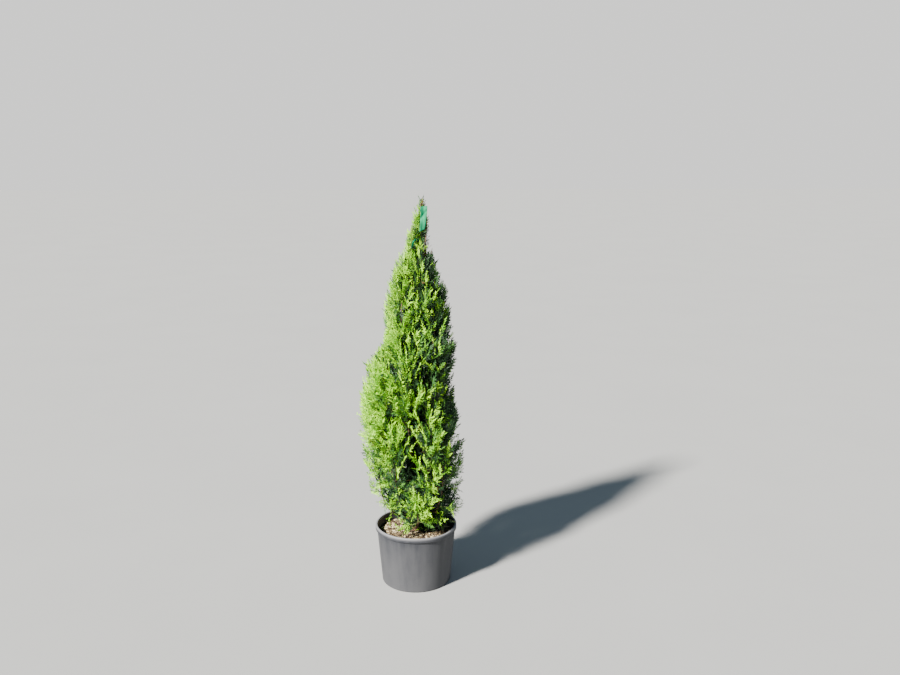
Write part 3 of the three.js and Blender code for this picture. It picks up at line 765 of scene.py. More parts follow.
plume, limb_controls, has_bough = plan_limbs(seeded_random(SEED, 2 * MASSES))
bough_share = np.where(has_bough, BOUGH_SHARE, 0.0)
limb_shares = np.linspace(0, 1, LIMB_RINGS)[None] + np.zeros((MASSES, 1))
limb_paths = on_limb(limb_controls[:, None], limb_shares)
on_bough = between(limb_shares, 0, BOUGH_SHARE)
on_stem = between(limb_shares, bough_share[:, None], 1)
bough_radii = BOUGH_RADIUS + (STEM_RADIUS - BOUGH_RADIUS) * on_bough
stem_radii = STEM_RADIUS + (TIP_RADIUS - STEM_RADIUS) * on_stem
limb_radii = np.where((limb_shares < BOUGH_SHARE) & has_bough[:, None], bough_radii, stem_radii)
foot, elbow, tip = np.moveaxis(limb_controls, 1, 0)
limb_shred = bark_relief(limb_paths, limb_radii, LIMB_SIDES, LIMB_SHRED, 31)
limb_parts = tubes(limb_paths, limb_radii, unit(np.cross(elbow - foot, tip - foot)), LIMB_SIDES, limb_shred)
bough_nodes = [f"bough_{i + 1}" for i in range(MASSES) if has_bough[i]]
bough_finish = bark_finish("young_bark", *YOUNG_BARK_COLOURS, (1, 1, 0.35))
new_piece(new_mesh("boughs_bark", *limb_parts), bough_finish, bough_nodes, True)


# The twigs.
# Thin twigs leave each stem all round and all the way up, rise steeply and carry the sprays in one upright
# plane. Their skin is red-brown and olive in long blotches. Low ones spread out over the mulch, and every
# twig ends early where the crown is open.
TWIGS = 38
TWIG_SHARE = 0.55
TWIG_RADIUS = 1.15
TWIG_RINGS = 7
TWIG_SIDES = 5
TWIG_COLOURS = ((0.12, 0.085, 0.035, 1), (0.095, 0.14, 0.032, 1))
RADIAL_SHARE = 0.8
LOWEST_PITCH = -0.9
SKIRT_PITCH = 1.65
LAST_PITCH = 1.25
TWIG_BEND = 0.12
TWIG_WAVES = 2.6
TWIG_MINGLE = 18
PAGE = np.array([[0.3, 0], [0.55, 0.2], [0.55, -0.2], [0.8, 0.16], [0.8, -0.16], [1.0, 0]])
MASS_NODES = [f"mass_{i + 1}" for i in range(MASSES)]
BATCH = 30000
CROWN_LOW = np.array(cad_low) / MILLIMETRE
CROWN_HIGH = np.array(cad_high) / MILLIMETRE + [0, 0, 10]
RIBBON_CLEARANCE = 12
TUFT_SIZE = (20, 20, 28)
LOW_CROWN = (640, 360)
OPEN_CROWN = -0.7
OPEN_LOW_CROWN = 0.46
OPEN_OVER_MULCH = 0.3
CLEARING_TOP = SOIL_TOP + 45
CLEARING_REACH = 0.62
RIBBON_LINE = trunk_axis(RIBBON_HEIGHT) + np.array([
    [2, -4, 0], [8, -17, 6], [9, -26, 20], [9, -32, 24], [9, -37, 12], [8, -40, -12], [6, -42, -36],
    [3, -44, -62], [-6, -38, -82], [-13, -35, -100], [-20, -50, -108], [-24, -56, -118], [-27, -58, -132],
])

stem_shares = bough_share[:, None] + (1 - bough_share[:, None]) * np.linspace(0, 1, 15)
stem_samples = on_limb(limb_controls[:, None], stem_shares)
bough_shares = np.linspace(0.04, BOUGH_SHARE, 11)[None] + np.zeros((has_bough.sum(), 1))
bough_samples = on_limb(limb_controls[has_bough][:, None], bough_shares).reshape(-1, 3)


def squared_distances(points, samples):
    """Squared distances from n points to m samples: the two squares less twice the product."""
    return (points**2).sum(-1)[:, None] + (samples**2).sum(-1)[None] - 2 * points @ samples.T


def in_space(points, owner, mingle):
    """Whether each point lies in the space of the mass that owns it: within the crown and the box of the
    solids, above the mulch and the rim, clear of trunk, boughs and ribbon, and no further from its own stem
    than from another, give or take the distance by which neighbours mingle."""
    shape = points.shape[:-1]
    points = points.reshape(-1, 3)
    owner = np.broadcast_to(owner, shape).reshape(-1)
    fits = np.zeros(len(points), bool)
    for first in range(0, len(points), BATCH):
        p, own = points[first:first + BATCH], owner[first:first + BATCH]
        from_trunk = axis_distance(p)
        ok = (from_trunk < crown_reach(p)) & (p[:, 2] < PLANT_TOP)
        ok &= ((p > CROWN_LOW) & (p < CROWN_HIGH)).all(1)
        outside = np.hypot(p[:, 0], p[:, 1]) > can_inside(CAN_HEIGHT) - 5
        ok &= p[:, 2] > np.where(outside, CAN_HEIGHT + 2, SOIL_TOP + 3)
        ok &= from_trunk > trunk_radius(p[:, 2]) + 1.5
        ok &= squared_distances(p, RIBBON_LINE).min(1) > RIBBON_CLEARANCE**2
        ok &= squared_distances(p, bough_samples).min(1) > (BOUGH_RADIUS + 0.5) ** 2
        near = squared_distances(p, stem_samples.reshape(-1, 3)).clip(0)
        near = near.reshape(len(p), MASSES, -1).min(2) ** 0.5
        mine = near[np.arange(len(p)), own]
        near[np.arange(len(p)), own] = np.inf
        fits[first:first + BATCH] = ok & (near.min(1) + mingle > mine)
    return fits.reshape(shape)


def raised(level, pitch):
    """Level directions raised by a pitch: its cosine along them and its sine upwards."""
    return level * np.cos(pitch) + UP * np.sin(pitch)


def longest_fit(start, along, across, full, shares, page, owner, mingle):
    """The longest of a few shares of each full length at which every point of the page, given along and
    across as shares of the length, lies in the owner's space. Gives it and whether there is one at all."""
    trial = full[..., None] * shares
    points = start[..., None, None, :] + trial[..., None, None] * (
        page[:, 0, None] * along[..., None, None, :] + page[:, 1, None] * across[..., None, None, :]
    )
    fits = in_space(points, owner, mingle).all(-1)
    return np.take_along_axis(trial, fits.argmax(-1)[..., None], -1)[..., 0], fits.any(-1)


twig_rng = np.random.default_rng(SEED)
grid = (MASSES, TWIGS, 3)
twig_phase = twig_rng.random((MASSES, 1))
twig_number = np.arange(TWIGS)[None]
twig_along = 0.03 + 0.95 * (twig_number + 0.3 * twig_rng.random(grid[:2])) / (TWIGS - 0.4)
twig_root = on_limb(limb_controls[:, None], bough_share[:, None] + (1 - bough_share[:, None]) * twig_along)
twig_side = 2 * np.pi * (twig_phase + twig_number * GOLDEN_SHARE)[..., None] + 2 * np.pi / 3 * np.arange(3)
outward = unit(off_axis(twig_root))[..., None, :]
away = outward * np.cos(twig_side)[..., None] + np.cross(UP, outward) * np.sin(twig_side)[..., None]
first_pitch = LOWEST_PITCH + SKIRT_PITCH * above_skirt(twig_root[..., 2])
pitch = first_pitch + (LAST_PITCH - first_pitch) * twig_along**2
pitch = (pitch[..., None] + (twig_rng.random(grid) - 0.5) * 0.3)[..., None]
twig_dir = unit(raised(away, pitch) * 0.9 + UP * 0.1)
leaning = np.sign(dot(away, outward) + 1e-9)
page_level = unit(away * (1 - RADIAL_SHARE) + outward * leaning * RADIAL_SHARE)
page_normal = unit(np.cross(UP, page_level) + 0.22 * twig_rng.normal(size=grid + (3,)))
page_normal = square_to(twig_dir, page_normal)
page_across = np.cross(page_normal, twig_dir)
full_length = plume[:, None, None] * TWIG_SHARE * (0.85 + 0.3 * twig_rng.random(grid))
twig_length, twig_fits = longest_fit(
    twig_root[:, :, None], twig_dir, page_across, full_length, 0.92 ** np.arange(12), PAGE,
    np.arange(MASSES).reshape(-1, 1, 1, 1, 1), TWIG_MINGLE,
)
twig_length = np.where(twig_fits, twig_length, 0)
best_side = twig_length.argmax(-1)[..., None]
twig_length = np.take_along_axis(twig_length, best_side, 2).reshape(-1)
has_room = twig_length > 0
twig_length = twig_length[has_room]
twig_dir, page_normal, page_across = (
    np.take_along_axis(v, best_side[..., None], 2).reshape(-1, 3)[has_room]
    for v in (twig_dir, page_normal, page_across)
)
twig_start = twig_root.reshape(-1, 3)[has_room]
twig_owner = np.repeat(np.arange(MASSES), TWIGS)[has_room]
twig_wave = twig_rng.uniform(-0.05, 0.05, len(twig_length))


def on_twig(t, index):
    """Points on twigs: straight out from the root, bent upwards in its plane by the square of the distance,
    and waved a little out of it by a sine."""
    t = np.asarray(t)[..., None]
    bend = np.sign(dot(page_across[index], UP)) * page_across[index]
    wave = page_normal[index] * (twig_wave[index, None] * np.sin(TWIG_WAVES * t))
    share = t * twig_dir[index] + TWIG_BEND * t**2 * bend + wave
    return twig_start[index] + twig_length[index, None] * share


def outwardness(points):
    """How far out points lie, as a share of the crown's radius at their height."""
    return OUTLINE_SLACK * axis_distance(points) / crown_reach(points).clip(20)


def tufts(points):
    """Fine noise over the crown: high where new sprays stand together in a tuft, low between tufts."""
    return soft_noise(points, TUFT_SIZE, 53)


def is_thin(points):
    """Where the crown is open: between tufts, more so low down, and most of all above the mulch."""
    low = between(points[:, 2], *LOW_CROWN)
    over_mulch = (points[:, 2] < CLEARING_TOP) & (outwardness(points) > CLEARING_REACH)
    return tufts(points) <= np.where(over_mulch, OPEN_OVER_MULCH, OPEN_CROWN + OPEN_LOW_CROWN * low)


twig_index = np.arange(len(twig_length))
twig_end = np.ones(len(twig_length))
for share in (0.95, 0.65, 0.35):
    thin = is_thin(on_twig(np.full(len(twig_length), share), twig_index)) & (twig_end > share)
    twig_end[thin] = share - 0.2 if share > 0.5 else 0
twig_index = twig_index[twig_end > 0]
twig_steps = np.linspace(0, 1, TWIG_RINGS)
twig_paths = on_twig(twig_steps * twig_end[twig_index][:, None], twig_index[:, None].repeat(TWIG_RINGS, 1))
twig_girth = TWIG_RADIUS * (0.75 + 0.25 * (twig_length[twig_index] / 120).clip(0, 1.4))
twig_radii = (1 - 0.72 * twig_steps)[None] * twig_girth[:, None]
twig_parts = tubes(twig_paths, twig_radii, page_normal[twig_index], TWIG_SIDES)
skin_blotches = ((1, 1, 0.5), 70, 0.35, 0.55)
twig_finish = mottled_finish("twig_skin", *TWIG_COLOURS, skin_blotches, (0.3, 0.0005), 0.65, 0.5)
new_piece(new_mesh("twigs", *twig_parts), twig_finish, MASS_NODES, True)


# The sprays.
# Flat fans of scaly branchlets leave the twigs by turns on both sides, in the twig's upright plane, and
# one ends each twig. The leaf scales are firm and faintly waxy: deep green inside, yellow-green at the tips.
SPRAY_SLOTS = 11
SPRAY_STEP = 12.0
SPRAY_SHARE = 0.46
END_SHARE = 0.54
SHORTEST_SPRAY = 26
SPRAY_LENGTHS = np.array([1.0, 0.85, 0.72, 0.6, 0.5])
SPRAY_PAGE = np.array([[0.5, 0.2], [0.5, -0.2], [1.0, 0.0]])
SPRAY_MINGLE = 24
ANYWHERE = 400
HANGING_SHARE = 0.3
HANGING_HEIGHTS = (600, 350)
LOW_GROWTH = 0.12
GROWTH_HEIGHTS = (560, 360)
SHADE_SPRAYS = 3000
SHADE_LENGTHS = (62, 104)
SHADE_PITCHES = (0.35, 1.3)
SHADE_REACH = 0.76
SHADE_TOP = 1290
LEADER_SPRAYS = 290
LEADER_FOOT = 1170
LEADER_PITCHES = (0.8, 1.4)
LEADER_LENGTHS = (38, 76)
STRIP = np.array([[0, 0.016], [0.3, 0.022], [0.62, 0.018], [0.92, 0.008]])
BLADE_LEFT = [[0, 0.045], [0.32, 0.075], [0.56, 0.2], [0.66, 0.08]]
BLADE_RIGHT = [[0, -0.045], [0.22, -0.08], [0.4, -0.2], [0.52, -0.08]]
STRIP_POINTS = 8
BLADE_POINTS = 9
FIRST_BRANCHLET = 0.07
BRANCHLET_SPAN = 0.80
LOWEST_ANGLE = 58
ANGLE_LOSS = 26
LONGEST_BRANCHLET = 0.40
END_BRANCHLET = 0.24
BLADE_ROLL = 1.0
BLADE_CURL = 1.9
SPRAY_ASIDE = 0.22
MOST_ASIDE = 0.32
LEAF_TINTS = {
    "old": ((0.011, 0.034, 0.012, 1), (0.023, 0.064, 0.02, 1), 0.35),
    "deep": ((0.024, 0.077, 0.023, 1), (0.043, 0.124, 0.028, 1), 0.35),
    "middle": ((0.048, 0.152, 0.019, 1), (0.082, 0.222, 0.023, 1), 0.25),
    "light": ((0.108, 0.3, 0.011, 1), (0.168, 0.42, 0.016, 1), 0.2),
    "tip": ((0.27, 0.59, 0.013, 1), (0.43, 0.82, 0.03, 1), 0.25),
    "dry": ((0.16, 0.1, 0.033, 1), (0.085, 0.056, 0.022, 1), 0.2),
}
TINT_STEPS = [0.43, 0.64, 0.81, 0.98]
OUTER_NEWNESS = 1.15
END_NEWNESS = 0.22
PATCH_NEWNESS = 0.13
TUFT_NEWNESS = 0.4
PAINTED_SHADE_LOSS = 0.85
BROAD_PATCH = (70, 70, 110)
SMALL_PATCH = (26, 26, 44)
TINT_CHANCE = 0.27
LOW_TINTS = (560, 260)
# Painted shade: where the crown's tints are darkened, on the side away from the key light.
PAINTED_SHADE_SIDE = [1.02, -0.04, 0]
PAINTED_SHADE_HEIGHTS = (430, 680)
PAINTED_SHADE_EDGE = [0.98, 0.2, 0]
# Painted light: where the crown's tints are lightened, on the side facing the key light.
PAINTED_LIGHT_HEIGHTS = (650, 900)
PAINTED_LIGHT_GAIN = 0.12
DRY = 5
DRY_REACH = 0.55
DRY_SHARES = (0.06, 0.004)
TRIANGLES_A_PIECE = 190000


def spray_kinds(rng, kinds, branchlets, breadth):
    """Unit sprays along +X in the XY plane. A middle strip tapers to the tip. Branchlets leave it by turns,
    lean forward less and less, and are longest a third of the way up. A branchlet is a blade whose two
    edges run out to one lobe each, and it curls out of the plane by the square of its length."""
    k, n = kinds, 2 * branchlets + 1
    j = np.arange(n)
    at = FIRST_BRANCHLET + BRANCHLET_SPAN * (j / (n - 1)) ** 0.95 + rng.uniform(-0.012, 0.012, (k, n))
    sign = np.where(j % 2 == 0, 1.0, -1.0) * np.ones((k, 1))
    angle = np.radians(LOWEST_ANGLE - ANGLE_LOSS * j / (n - 1)) + rng.uniform(-0.14, 0.14, (k, n))
    length = LONGEST_BRANCHLET * (1 - at) ** 0.62 * np.minimum(1, 0.62 + at) * rng.uniform(0.82, 1.18, (k, n))
    at[:, -1], angle[:, -1], length[:, -1] = BRANCHLET_SPAN, 0, END_BRANCHLET
    blade = np.concatenate([np.stack([BLADE_LEFT, BLADE_RIGHT], 1).reshape(-1, 2), [[1, 0]]])
    s = blade[:, 0] * length[..., None]
    t = blade[:, 1] * (0.55 * length[..., None] + 0.085) * breadth
    roll = rng.uniform(-BLADE_ROLL, BLADE_ROLL, (k, n, 1))
    curl = rng.uniform(-BLADE_CURL, BLADE_CURL, (k, n, 1))
    c, d = np.cos(angle)[..., None], (np.sin(angle) * sign)[..., None]
    x = at[..., None] + s * c - t * np.cos(roll) * d
    y = s * d + t * np.cos(roll) * c
    blades = np.stack([x, y, t * np.sin(roll) + curl * s**2], -1).reshape(k, n * BLADE_POINTS, 3)
    strip = np.pad(np.stack([STRIP, STRIP * [1, -1]], 1).reshape(-1, 2), ((0, 0), (0, 1)))
    return np.concatenate([np.broadcast_to(strip, (k, STRIP_POINTS, 3)), blades], 1)


def spray_faces(branchlets):
    """Triangles of a unit spray: a zigzag down the strip and down each blade to its tip."""
    odd = np.arange(BLADE_POINTS - 2) % 2
    first = np.arange(BLADE_POINTS - 2)
    zigzag = np.stack([first + odd, first + 1 - odd, first + 2], -1)
    blades = repeated(zigzag, 2 * branchlets + 1, BLADE_POINTS) + STRIP_POINTS
    return np.concatenate([zigzag[:-1], blades.reshape(-1, 3)])


def fit_sprays(start, along, facing, full, owner, mingle):
    """Sprays that keep to their space: each takes the longest of five lengths whose middle and tip lie in
    it, and one without room at any length is left out. Gives their places, frames and lengths, and which
    ones have room."""
    along = unit(along)
    facing = square_to(along, facing)
    across = np.cross(facing, along)
    owner = owner[:, None, None]
    length, room = longest_fit(start, along, across, full, SPRAY_LENGTHS, SPRAY_PAGE, owner, mingle)
    return start[room], np.stack([along, across, facing], 1)[room], length[room], room


def deal_tints(middle, t, rng):
    """A tint for each spray from how new it is: how far out it lies, its place along the twig, slow noise
    over the crown, whether it stands in a tuft and chance, with painted shade darkening the side turned
    from the light, and painted light on the other side high up and low down. A few inside are dry."""
    out = outwardness(middle)
    patch = soft_noise(middle, BROAD_PATCH, 51) + soft_noise(middle, SMALL_PATCH, 52)
    low = between(middle[:, 2], *LOW_TINTS)
    side = unit(off_axis(middle))
    # Painted shade: sprays on the right side, away from the key light, are dealt darker tints.
    painted_side_shade = np.clip(side @ PAINTED_SHADE_SIDE - 0.08, 0, 1) * between(middle[:, 2], *PAINTED_SHADE_HEIGHTS).clip(0.25)
    painted_side_shade = np.maximum(painted_side_shade, np.clip(1.7 * (side @ PAINTED_SHADE_EDGE - 0.42), 0, 0.95))
    painted_side_shade *= np.clip(1 - 1.3 * side[:, 1], 0.25, 1)
    newness_and_light = OUTER_NEWNESS * out.clip(0, 1.1) ** 1.6 + END_NEWNESS * t + PATCH_NEWNESS * patch
    newness_and_light += (TUFT_NEWNESS + 0.25 * low) * tufts(middle) - 0.13 * low - PAINTED_SHADE_LOSS * painted_side_shade
    # Painted light: sprays on the left side, towards the key light, are dealt lighter tints.
    newness_and_light += PAINTED_LIGHT_GAIN * np.clip(-side[:, 0], 0, 1) * (between(middle[:, 2], *PAINTED_LIGHT_HEIGHTS) + 0.6 * low)
    tint = np.digitize(newness_and_light + rng.normal(0, TINT_CHANCE + 0.1 * low), TINT_STEPS)
    return np.where(rng.random(len(t)) < np.where(out < DRY_REACH, *DRY_SHARES), DRY, tint)


def page_sprays(rng):
    """The sprays of the twigs: by turns on both sides in the twig's plane, shorter towards its tip, and one
    that goes on from the tip itself. All turn a little upwards, but for some that hang in the lower crown."""
    count = len(twig_length)
    used = np.clip((twig_length / SPRAY_STEP).astype(int) + 2, 3, SPRAY_SLOTS - 1)[:, None]
    slot = np.arange(SPRAY_SLOTS)[None]
    is_end = slot == SPRAY_SLOTS - 1
    t = np.where(is_end, 0.86, 0.06 + 0.86 * (slot + rng.uniform(0, 0.5, (count, SPRAY_SLOTS))) / used)
    kept = (slot < used) | is_end
    twig = np.repeat(np.arange(count)[:, None], SPRAY_SLOTS, 1)[kept]
    side = np.where(slot % 2 == 0, 1.0, -1.0) * rng.choice([-1.0, 1.0], (count, 1))
    lean = np.where(is_end, 0.0, np.radians(38 - 16 * t)) + rng.normal(0, 0.15, t.shape)
    share = np.where(is_end, END_SHARE, SPRAY_SHARE * (1 - 0.36 * t)) * rng.uniform(0.8, 1.2, t.shape)
    t, side, lean, share = (np.broadcast_to(v, kept.shape)[kept] for v in (t, side, lean, share))
    start = on_twig(t, twig)
    tangent = unit(on_twig(t + 0.03, twig) - start)
    normal = page_normal[twig]
    in_page = unit(np.cross(normal, tangent)) * side[:, None]
    lift = rng.normal(0, 0.2, (len(t), 1)) * normal
    hanging = rng.random(len(t)) < HANGING_SHARE * between(start[:, 2], *HANGING_HEIGHTS)
    upright = np.where(hanging, -0.75, 0.3)[:, None] * UP
    along = tangent * np.cos(lean)[:, None] + in_page * np.sin(lean)[:, None] + lift + upright
    facing = normal + 0.28 * rng.normal(size=(len(t), 3))
    full = np.maximum(share * twig_length[twig], SHORTEST_SPRAY)
    full *= 1 + LOW_GROWTH * between(start[:, 2], *GROWTH_HEIGHTS)
    place, axes, length, room = fit_sprays(start, along, facing, full, twig_owner[twig], SPRAY_MINGLE)
    middle = place + 0.5 * length[:, None] * axes[:, 0]
    tint = deal_tints(middle, t[room], rng)
    kept = ~is_thin(middle) & (t[room] < twig_end[twig[room]])
    return place[kept], axes[kept], length[kept], tint[kept]


def shade_sprays(rng):
    """Older, broader sprays deep in the crown. They leave trunk, boughs and stems at even steps, hang or
    rise steeply and face outwards, so that no light comes through the crown."""
    number = np.arange(SHADE_SPRAYS)
    owner = number % MASSES
    on_limbs = on_limb(limb_controls[owner], rng.uniform(0.06, 0.95, SHADE_SPRAYS))
    height = SOIL_TOP + 30 + (PLANT_TOP - 330 - SOIL_TOP) * rng.random(SHADE_SPRAYS)
    from_trunk = (number % 5 == 0)[:, None]
    start = np.where(from_trunk, trunk_axis(height), on_limbs)
    level = compass(number * GOLDEN_ANGLE + rng.uniform(-0.3, 0.3, SHADE_SPRAYS))
    pitch = rng.uniform(*SHADE_PITCHES, SHADE_SPRAYS)[:, None]
    along = raised(level, pitch)
    facing = np.where(from_trunk, level, unit(off_axis(start) + 0.01 * level))
    facing = facing + 0.5 * rng.normal(size=(SHADE_SPRAYS, 3))
    full = rng.uniform(*SHADE_LENGTHS, SHADE_SPRAYS)
    place, axes, length = fit_sprays(start + 6 * along, along, facing, full, owner, ANYWHERE)[:3]
    out = outwardness(place + 0.7 * length[:, None] * axes[:, 0])
    inside = (out < SHADE_REACH) & (place[:, 2] + length < SHADE_TOP)
    tint = np.where(rng.random(len(place)) < 0.05, DRY, (rng.random(len(place)) < 0.2) * 1)
    return place[inside], axes[inside], length[inside], tint[inside]


def leader_sprays(rng):
    """Short sprays on the bare leader near the top: they leave it all round by the golden angle, rise
    steeply and stand on both sides of the ribbon up to the tip."""
    number = np.arange(LEADER_SPRAYS)
    share = ((number + rng.random(LEADER_SPRAYS)) / LEADER_SPRAYS) ** 0.7
    height = LEADER_FOOT + (PLANT_TOP - 12 - LEADER_FOOT) * share
    level = compass(number * GOLDEN_ANGLE)
    pitch = rng.uniform(*LEADER_PITCHES, LEADER_SPRAYS)[:, None]
    along = raised(level, pitch)
    facing = np.cross(UP, level) + 0.5 * rng.normal(size=(LEADER_SPRAYS, 3))
    full = np.minimum(rng.uniform(*LEADER_LENGTHS, LEADER_SPRAYS), 1.15 * (PLANT_TOP + 2 - height))
    owner = np.where(height > RIBBON_HEIGHT, MASSES - 1, MASSES - 2)
    start = trunk_axis(height) + 2.4 * along
    place, axes, length = fit_sprays(start, along, facing, full, owner, ANYWHERE)[:3]
    return place, axes, length, deal_tints(place + length[:, None] * axes[:, 0], 0 * length + 0.7, rng)


def placed(kinds, faces, place, axes, length, rng):
    """Sprays as one mesh's points and faces: a unit spray times its length, turned into its frame, moved to
    its place and bent by the square of the distance along it, most upwards and some over to one side."""
    count = len(place)
    stretch = length[:, None] * np.stack([np.ones(count), rng.uniform(0.7, 1.1, count), np.ones(count)], -1)
    local = kinds[rng.integers(0, len(kinds), count)] * stretch[:, None]
    points = place[:, None] + np.einsum("nvk,nkj->nvj", local, axes)
    aside = rng.normal(0, SPRAY_ASIDE, (count, 1)).clip(-MOST_ASIDE, MOST_ASIDE)
    bend = rng.normal(0.05, 0.12, (count, 1)) * UP + aside * axes[:, 2]
    points += (local[..., 0] ** 2 / length[:, None])[..., None] * bend[:, None]
    return points, repeated(faces, count, kinds.shape[1])


spray_rng = np.random.default_rng(SEED + 1)
fine = spray_kinds(spray_rng, 12, 5, 1.12), spray_faces(5)
broad = spray_kinds(spray_rng, 8, 3, 1.9), spray_faces(3)
young = [np.concatenate(both) for both in zip(page_sprays(spray_rng), leader_sprays(spray_rng))]
shaded = shade_sprays(spray_rng)
for tint, (name, (first, second, gloss)) in enumerate(LEAF_TINTS.items()):
    finish = mottled_finish(f"{name}_leaf", first, second, (EVEN, 210, 0.38, 0.62), (0.5, 0.001), 0.55, gloss)
    for kind, sprays, (kinds, faces) in (("sprays", young, fine), ("inner", shaded, broad)):
        place, axes, length, dealt = sprays
        mine = np.flatnonzero(dealt == tint)
        mine = mine[np.argsort(place[mine, 2])]
        parts = math.ceil(len(mine) * len(faces) / TRIANGLES_A_PIECE)
        for part, group in enumerate(np.array_split(mine, parts) if parts else []):
            shape = placed(kinds, faces, place[group], axes[group], length[group], spray_rng)
            mesh = new_mesh(f"{kind}_{name}_{part + 1}", *shape)
            new_piece(mesh, finish, MASS_NODES, False)


# The marker ribbon.
# A strip of mint green plastic tape is tied round the leader near its tip. Its long end folds over in a loop
# above the knot and hangs down the front to a slanting cut, and a shorter end hangs from a second tie below.
RIBBON_WIDTH = 28.0
RIBBON_TAIL = 62.0
RIBBON_LOOP = 24.0
RIBBON_ASIDE = 8.0
TIE_HEIGHT = 1316.0
TAPE_THICKNESS = 0.0004
MINT = ((0.0, 0.115, 0.047, 1), (0.0, 0.24, 0.1, 1))


def strip_shares(rows, columns):
    """The points of a strip's grid as shares: from 0 to 1 along it and from -0.5 to 0.5 across it."""
    return np.meshgrid(np.linspace(0, 1, rows), np.linspace(-0.5, 0.5, columns), indexing="ij")


def ribbon_tail():
    """The tail as a grid: its middle line goes forward from the leader, up into a fold, over and down, and
    each point lies to one side of it by the width, with a lengthwise fold, a flutter that grows towards the
    free end and one slanting crease, a bell curve across the strip."""
    t, w = strip_shares(48, 17)
    knot = trunk_axis(RIBBON_HEIGHT)
    stations = [0, 0.11, 0.25, 0.31, 0.41, 0.68, 1]
    forward = np.interp(t, stations, [0, 13, 22, 28, 33, 37, 40])
    loop = np.interp(t, stations, [0, 0.25, 0.83, 1, 0.5, -0.9, -RIBBON_TAIL / RIBBON_LOOP])
    half_width = RIBBON_WIDTH * (0.35 + 0.65 * between(t, 0, 0.25) ** 0.7) * (1 - 0.3 * t)
    fold = 2.0 * np.cos(w * np.pi * 2.2) * (1 - 0.4 * t) + 2.2 * np.sin(5.5 * t + 3 * w) * t
    fold += 3.5 * np.exp(-(((t - 0.56 + 0.2 * w) / 0.04) ** 2))
    x = knot[0] + w * half_width + RIBBON_ASIDE * between(t, 0, 0.2) - 6 * t + 4 * np.sin(3 * t)
    y = knot[1] - trunk_radius(RIBBON_HEIGHT) - 1 - forward + fold
    z = knot[2] + RIBBON_LOOP * loop + 9 * w * t
    return np.stack([x, y, z], -1)


def ribbon_scrap():
    """The end of the second tie as a grid: a narrow strip that goes out of the crown to the front and left
    of the leader, turns over and hangs, with a twist that grows along it."""
    t, w = strip_shares(30, 9)
    leader = trunk_axis(TIE_HEIGHT)
    x = leader[0] + np.interp(t, [0, 0.5, 1], [0, -19, -27]) + 13 * w * np.cos(1.1 * t)
    y = leader[1] - np.interp(t, [0, 0.55, 0.8, 1], [4, 44, 53, 55]) + 13 * w * np.sin(1.1 * t)
    z = leader[2] + np.interp(t, [0, 0.5, 0.7, 1], [0, 8, 3, -19]) + 3 * np.sin(4 * w)
    return np.stack([x, y, z], -1)


def smooth_rows(grid, rounds):
    """A grid whose inner rows are averaged with their neighbours, a few times over."""
    for _ in range(rounds):
        grid[1:-1] = (grid[:-2] + 2 * grid[1:-1] + grid[2:]) / 4
    return grid


def ribbon_band(height):
    """A band as a grid: one turn of a crumpled strip round the leader at a height, pinched in the middle."""
    t, w = strip_shares(64, 7)
    knot = trunk_axis(height)
    angle = 2 * np.pi * t
    radius = trunk_radius(height) + 1.1 + 0.5 * np.cos(w * 12) + 0.3 * np.sin(9 * angle + 5 * w)
    z = knot[2] + 8.5 * w + 0.6 * np.sin(2 * angle)
    return np.stack([knot[0] + radius * np.cos(angle), knot[1] + radius * np.sin(angle), z], -1)


ends = [smooth_rows(ribbon_tail(), 3), smooth_rows(ribbon_scrap(), 3)]
sheets = ends + [ribbon_band(RIBBON_HEIGHT), ribbon_band(TIE_HEIGHT)]
sheet_starts = np.cumsum([0] + [sheet.size // 3 for sheet in sheets])
ribbon_points = np.concatenate([sheet.reshape(-1, 3) for sheet in sheets])
ribbon_faces = [grid_faces(*sheet.shape[:2], False) + first for sheet, first in zip(sheets, sheet_starts)]
ribbon_mesh = new_mesh("ribbon_tape", ribbon_points, np.concatenate(ribbon_faces))
creases = ((1, 1, 0.5), 60, 0.35, 0.65)
ribbon_finish = mottled_finish("mint_plastic_tape", *MINT, creases, (0.35, 0.001), 0.6, 0.15)
ribbon = new_piece(ribbon_mesh, ribbon_finish, ["marker_ribbon"], True)
thickness = ribbon.modifiers.new("thickness", "SOLIDIFY")
thickness.thickness = TAPE_THICKNESS
thickness.offset = 0


# The studio.
# A pale matt floor, one soft key light high on the left, a weak fill on the right and a dim even world.
# The camera stands at eye height, a little over three metres away.
FLOOR_REACH = 30000.0
LIGHT_DISTANCE = 6
PLANT_MIDDLE = [0, 0, 0.75]
EYE = (0, -3.25, 1.66)
EYE_DOWN = 12.2
EYE_RIGHT = 2.31


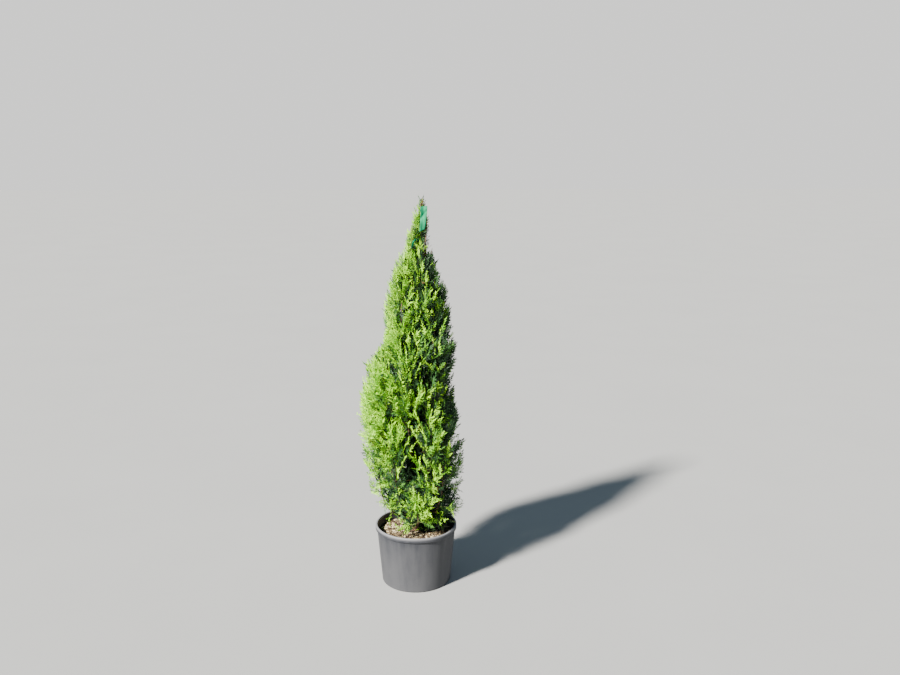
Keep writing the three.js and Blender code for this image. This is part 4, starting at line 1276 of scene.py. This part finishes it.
def soft_light(name, kind, azimuth, elevation, power, colour):
    """A light that faces the plant's middle from an azimuth left of the camera and an elevation."""
    lamp = bpy.data.lights.new(name, kind)
    lamp.energy = power
    lamp.color = colour
    a, e = math.radians(azimuth), math.radians(elevation)
    back = np.array([-math.sin(a) * math.cos(e), -math.cos(a) * math.cos(e), math.sin(e)])
    holder = new_object(name, lamp)
    holder.location = tuple(PLANT_MIDDLE + back * LIGHT_DISTANCE)
    holder.rotation_euler = (math.pi / 2 - e, 0, -a)
    return lamp


floor_corners = FLOOR_REACH * np.array([[-1, -1, 0], [1, -1, 0], [1, 1, 0], [-1, 1, 0]])
floor_mesh = new_mesh("studio_floor", floor_corners, np.array([[0, 1, 2], [0, 2, 3]]))
floor_mesh.materials.append(mottled_finish(
    "pale_floor", (0.317, 0.317, 0.313, 1), (0.328, 0.328, 0.324, 1), (EVEN, 1.5, 0.3, 0.7), None, 1.0, 0.0
))
new_object("studio_floor", floor_mesh)
soft_light("key", "SUN", 47, 38, 17.5, (1.0, 0.97, 0.91)).angle = math.radians(6)
soft_light("fill", "AREA", -40, 25, 6, (0.7, 0.85, 1.0)).size = 3

world = bpy.data.worlds.new("studio_air")
bpy.context.scene.world = world
world.use_nodes = True
sky = world.node_tree
air = sky.nodes["Background"]
set_inputs(sky, air, {"Color": (0.6, 0.8, 1.0, 1), "Strength": 0.37})
backdrop = add_node(sky, "Background", {"Color": (0.926, 0.922, 0.903, 1), "Strength": 1.25})
seen = add_node(sky, "LightPath").outputs["Is Camera Ray"]
either = add_node(sky, "MixShader", {0: seen, 1: air.outputs[0], 2: backdrop.outputs[0]})
set_inputs(sky, sky.nodes["World Output"], {"Surface": either.outputs[0]})

camera_data = bpy.data.cameras.new("camera")
camera_data.lens = camera_data.sensor_width = 36
camera_data.clip_end = 200
camera = new_object("camera", camera_data)
camera.location = EYE
camera.rotation_euler = (math.radians(90 - EYE_DOWN), 0, math.radians(-EYE_RIGHT))
bpy.context.scene.camera = camera
